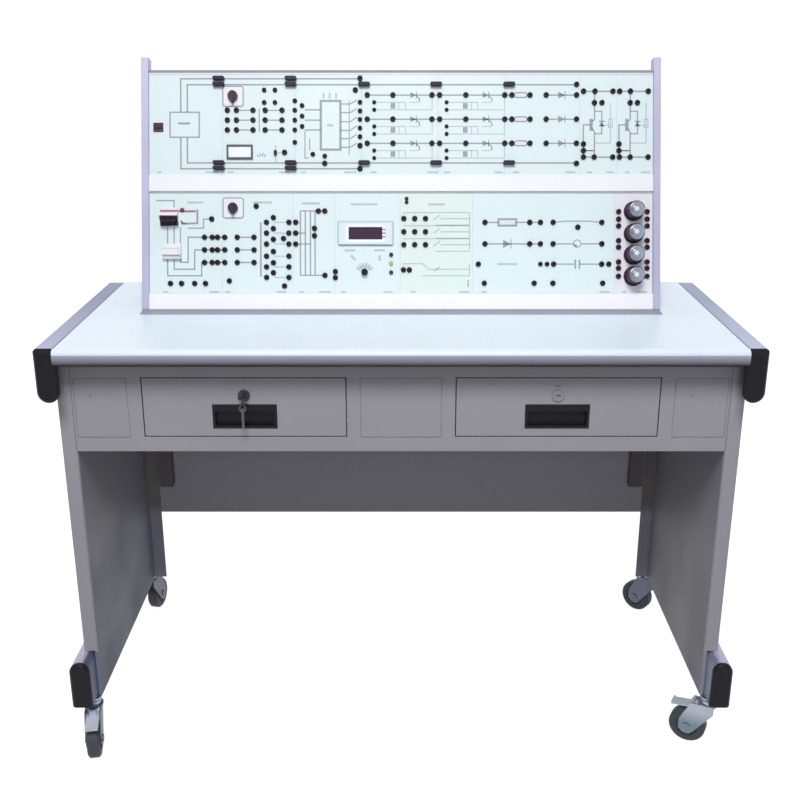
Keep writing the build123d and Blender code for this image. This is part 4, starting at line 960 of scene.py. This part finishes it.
rheostat_x = 498.5
rheostat_rows = (216.0, 168.0, 122.5, 77.0)
rheostat_top = panel_face + 0.4 + 34.0
rheostat_face = 16.3
breaker_x = -496.0
breaker_half = 19.0
breaker_front = panel_face + 8.5
button_place = (-469.0, 218.6)
contactor_front = panel_face + 16.0
meter_front = panel_face + 7.0
gap_low = panel_face - 1.4
gap_high = panel_face - 0.3
upper_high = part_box("upper_modules")[1]
side_inside = upper_high.x / millimetre
upper_top = (to_console @ upper_high).y
lower_top = (to_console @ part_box("lower_modules")[1]).y
side_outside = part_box("console_side_right")[1].x / millimetre
top_rail_foot = 508.0
top_rail_tip = 518.0
top_rail_back = -28.0
middle_rail_foot = 259.0
flange_reach = 22.0
flange_sheet = 1.2
nose_drop = 5.0
nose_radius = 12.0


def make_rheostat_faces():
    """A slightly domed grey disc with painted shade, a boss pale as a painted highlight and a
    pointer mark on each knob's end.
    """
    face, top = rheostat_face, rheostat_top
    side = rheostat_x + face + 0.2
    for number, row in enumerate(rheostat_rows, 1):
        disc, boss, mark = bmesh.new(), bmesh.new(), bmesh.new()
        lathe(disc, (rheostat_x, row), [
            (face, top - 0.4), (face, top + 0.5), (face - 0.8, top + 1.1),
            (face * 0.72, top + 1.5), (face * 0.68, top + 0.9), (face * 0.62, top + 1.6),
            (face * 0.34, top + 2.3)], 40)
        # The boss is pale as a painted highlight in the middle of the face.
        lathe(boss, (rheostat_x, row), [(face * 0.3, top + 1.6), (face * 0.3, top + 2.7),
                                        (face * 0.22, top + 3.2), (face * 0.06, top + 3.4)], 24)
        prism(mark, rectangle(side - 2.0, row - 0.8, side + 1.2, row + 0.8), top - 6.0, top + 0.3)
        for shape, part, finish in ((disc, "face", "shaded_knob_disc"), (boss, "boss", "pale_mark_and_highlight"),
                                    (mark, "mark", "pale_mark_and_highlight")):
            on_console(shape, "rheostat_%s_%d" % (part, number), finish,
                       "rheostat_%d" % number)


def make_breaker_strip():
    """Red strip over the breaker and beside it, and a red test button."""
    strip = bmesh.new()
    prism(strip, rounded(breaker_x + breaker_half - 0.5, 214.4, -440.0, 218.2, 1.2),
          panel_face - 0.05, panel_face + 1.0)
    half = breaker_half - 0.4
    prism(strip, rectangle(breaker_x - half, 213.6, breaker_x + half, 217.6), breaker_front,
          breaker_front + 1.0)
    on_console(strip, "breaker_strip", "strip_red")
    button = bmesh.new()
    lathe(button, button_place, [(4.6, panel_face + 1.0), (4.6, panel_face + 3.4),
                                 (3.8, panel_face + 4.2), (1.0, panel_face + 4.5)], 20)
    on_console(button, "breaker_button", "button_red")


def make_contactor_line():
    """Cream line across the contactor's white front."""
    line = bmesh.new()
    for outline in (rectangle(-509.5, 133.8, -474.0, 136.2),
                    rectangle(-476.4, 125.0, -474.0, 136.2)):
        prism(line, outline, contactor_front - 0.1, contactor_front + 0.25)
    on_console(line, "contactor_line", "cream_insert")


def make_meter_border():
    """White border around the meter's window and three plain marks beside it."""
    border = bmesh.new()
    ribbon(border, rounded(-115.2, 151.9, -37.2, 184.5, 2.0), 5.0, meter_front - 0.1,
           meter_front + 0.4, closed=True)
    on_console(border, "meter_border", "screen_white")
    marks = bmesh.new()
    for slope in (176.0, 168.2, 160.4):
        prism(marks, rounded(-40.5, slope - 1.4, -33.0, slope + 1.4, 1.0, 2),
              meter_front + 0.3, meter_front + 0.6)
    on_console(marks, "meter_marks", "strip_red")


def make_gap_strips():
    """Pale strips just below the surface in the gaps between the panels and rails."""
    strips = bmesh.new()
    for row in ("upper_modules", "lower_modules"):
        panels = sorted(islands(row), key=lambda pair: pair[0].x)
        for (low, high), (beside, _) in zip(panels, panels[1:]):
            left, right = high.x / millimetre, beside.x / millimetre
            foot, tip = (to_console @ low).y, (to_console @ high).y
            prism(strips, rectangle(left - 0.02, foot, right + 0.02, tip), gap_low, gap_high)
    for low, high in ((upper_top, top_rail_foot), (lower_top, middle_rail_foot)):
        prism(strips, rectangle(-side_inside, low - 0.5, side_inside, high + 0.1), gap_low,
              gap_high)
    on_console(strips, "module_gap_strips", "mint_panel")


def make_top_rail():
    """The top rail with its front flush with the panels, in dimmer white as painted shade."""
    rail = bmesh.new()
    prism(rail, rectangle(-side_inside, top_rail_foot, side_inside, top_rail_tip),
          top_rail_back, panel_face)
    piece = on_console(rail, "top_rail", "dim_white_print_and_shade")
    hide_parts("console_rail_top")


def make_painted_shade_lines():
    """Painted shade lines: along the top rail's upper edge, and along the upper edge of the lower
    panels.
    """
    lines = bmesh.new()
    base = panel_face - 0.05
    prism(lines, rectangle(-side_inside, 512.2, side_inside, top_rail_tip - 0.2), base,
          panel_face + 0.3)
    prism(lines, rectangle(-side_inside, 254.4, side_inside, 256.6), base, panel_face + 0.15)
    on_console(lines, "painted_shade_lines", "shade_line_grey")


def make_nose():
    """Fuller lower half of the tabletop's rounded front edge, with painted shade that darkens
    towards the bottom.
    """
    nose = bmesh.new()
    front = bench_front + 0.1
    back = front + 2.0 * nose_radius
    foot = bench_foot - nose_drop
    top = foot + nose_radius + 4.0
    outline = arc((front + nose_radius, foot + nose_radius), nose_radius, 180.0, 270.0, 8)
    outline += [(back, foot), (back, top), (front, top)]
    prism(nose, outline, bench_left, bench_right)
    nose.transform(Matrix(((0, 0, 1, 0), (1, 0, 0, 0), (0, 1, 0, 0), (0, 0, 0, 1))))
    piece = on_bench(nose, "tabletop_nose", "tabletop_edge_shade")
    piece.data.materials.append(finishes["nose_shade"])
    for face in piece.data.polygons:
        if face.normal.z < -mostly:
            face.material_index = 1


def make_seams():
    """Dark joint between the tabletop and each side rail."""
    seams = bmesh.new()
    for side in (-1.0, 1.0):
        edge = bench_right * side
        near, far = sorted((edge - side * 1.6, edge + side * 1.8))
        prism(seams, rectangle(near, bench_front + 14.0, far, bench_back - 10.5),
              bench_top - 0.5, bench_top + 0.1)
    on_bench(seams, "side_seams", "seam_line")


def make_lock_label():
    """Small bare plate above the right lock."""
    plate = bmesh.new()
    foot = lock_height + 17.5
    prism(plate, rounded(lock_x - 7.0, foot, lock_x + 5.0, foot + 3.0, 1.2, 2), -0.05, 0.25)
    place = Matrix.Translation((0.0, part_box("drawer_right")[0].y, 0.0))
    place = place @ Matrix.Rotation(math.pi / 2.0, 4, "X") @ Matrix.Scale(millimetre, 4)
    finished(plate, "lock_label", place, "drawer_right", "dark_ink")


def make_foot():
    """Flange of the console's foot on the tabletop, and the skirt behind it."""
    skirt = bmesh.new()
    prism(skirt, rectangle(-side_outside, 0.3, side_outside, 6.3), panel_face + 0.4,
          panel_face + 2.0)
    on_console(skirt, "console_foot_skirt", "foot_grey")
    flange = bmesh.new()
    outline = rounded(-side_outside, console_foot - flange_reach, side_outside,
                      console_foot + 6.0, 1.0, 2)
    prism(flange, outline, bench_top - 0.02, bench_top + flange_sheet)
    on_bench(flange, "console_foot_flange", "foot_grey")


make_rheostat_faces()
make_breaker_strip()
make_contactor_line()
make_meter_border()
make_gap_strips()
make_top_rail()
make_painted_shade_lines()
make_nose()
make_seams()
make_lock_label()
make_foot()

# Floor, backdrop, light and camera


def backdrop_material():
    """White to the camera and in gloss, with the object's shadow; dark for bounced light."""
    material, tree, shader = new_material("backdrop")
    link = tree.links.new
    shader.inputs["Base Color"].default_value = linear(112, 112, 114)
    shader.inputs["Roughness"].default_value = 0.9
    path = add(tree, "ShaderNodeLightPath")
    seen = path.outputs["Is Camera Ray"]
    for kind in ("Is Glossy Ray", "Is Transmission Ray"):
        either = add(tree, "ShaderNodeMath", operation="MAXIMUM")
        link(seen, either.inputs[0])
        link(path.outputs[kind], either.inputs[1])
        seen = either.outputs["Value"]
    paper = add(tree, "ShaderNodeBsdfDiffuse", Color=(0.42, 0.42, 0.42, 1.0))
    glow = add(tree, "ShaderNodeEmission", Color=(1.0, 1.0, 1.0, 1.0), Strength=0.88)
    bright = add(tree, "ShaderNodeAddShader")
    link(paper.outputs["BSDF"], bright.inputs[0])
    link(glow.outputs["Emission"], bright.inputs[1])
    mix = add(tree, "ShaderNodeMixShader")
    link(seen, mix.inputs["Fac"])
    link(shader.outputs["BSDF"], mix.inputs[1])
    link(bright.outputs["Shader"], mix.inputs[2])
    link(mix.outputs["Shader"], tree.nodes["Material Output"].inputs["Surface"])
    return material


def make_stage():
    """A floor that curves up into a backdrop; metres."""
    half, front, back, height, radius, drop = 9.0, -7.0, 4.0, 7.0, 2.0, 0.0005
    profile = [(front, 0.0)] + arc((back - radius, radius), radius, -90.0, 0.0, 12)
    profile.append((back, height))
    mesh = bpy.data.meshes.new("studio_floor")
    corners = [(x, y, z - drop) for y, z in profile for x in (-half, half)]
    faces = [(2 * i, 2 * i + 1, 2 * i + 3, 2 * i + 2) for i in range(len(profile) - 1)]
    mesh.from_pydata(corners, [], faces)
    mesh.shade_smooth()
    floor = new_object("studio_floor", mesh)
    mesh.materials.append(backdrop_material())


def lamp(name, place, target, size, power):
    """A soft rectangular lamp aimed at a point; metres and watts."""
    light = bpy.data.lights.new(name, "AREA")
    light.shape = "RECTANGLE"
    light.size, light.size_y = size
    light.energy = power
    holder = new_object(name, light)
    holder.location = place
    aim = Vector(target) - Vector(place)
    holder.rotation_euler = aim.to_track_quat("-Z", "Y").to_euler()


def make_world():
    """Even dim surround."""
    world = bpy.data.worlds.new("surround")
    world.use_nodes = True
    base = world.node_tree.nodes["Background"]
    base.inputs["Color"].default_value = (0.92, 0.95, 1.0, 1.0)
    base.inputs["Strength"].default_value = 0.27
    bpy.context.scene.world = world


def make_camera():
    """The photograph's own viewpoint."""
    data = bpy.data.cameras.new("photo_camera")
    data.sensor_width = sensor_width
    data.lens = focal_length * sensor_width / image_side
    data.shift_x = (image_side / 2.0 - image_middle[0]) / image_side
    data.shift_y = (image_middle[1] - image_side / 2.0) / image_side
    camera = new_object("photo_camera", data)
    camera.location = camera_place
    camera.rotation_euler = (math.radians(90.0 - camera_pitch), 0.0, 0.0)
    bpy.context.scene.camera = camera


make_stage()
make_world()
lamp("key_light", (-0.15, -3.0, 4.2), (0.0, -0.1, 0.8), (1.5, 1.2), 131.0)
lamp("low_light", (0.3, -4.4, 2.0), (0.0, -0.1, 0.6), (1.4, 1.0), 27.0)
lamp("top_light", (0.0, 0.4, 3.6), (0.0, 0.0, 0.9), (2.0, 1.6), 9.0)
lamp("rear_light", (0.0, 2.6, 3.2), (0.0, 0.3, 0.8), (2.4, 1.4), 34.0)
lamp("side_light_left", (-3.2, 0.1, 1.6), (0.0, 0.1, 0.7), (1.2, 1.2), 12.0)
lamp("side_light_right", (3.2, 0.1, 1.6), (0.0, 0.1, 0.7), (1.2, 1.2), 12.0)
make_camera()

bpy.context.scene.view_settings.view_transform = "Standard"
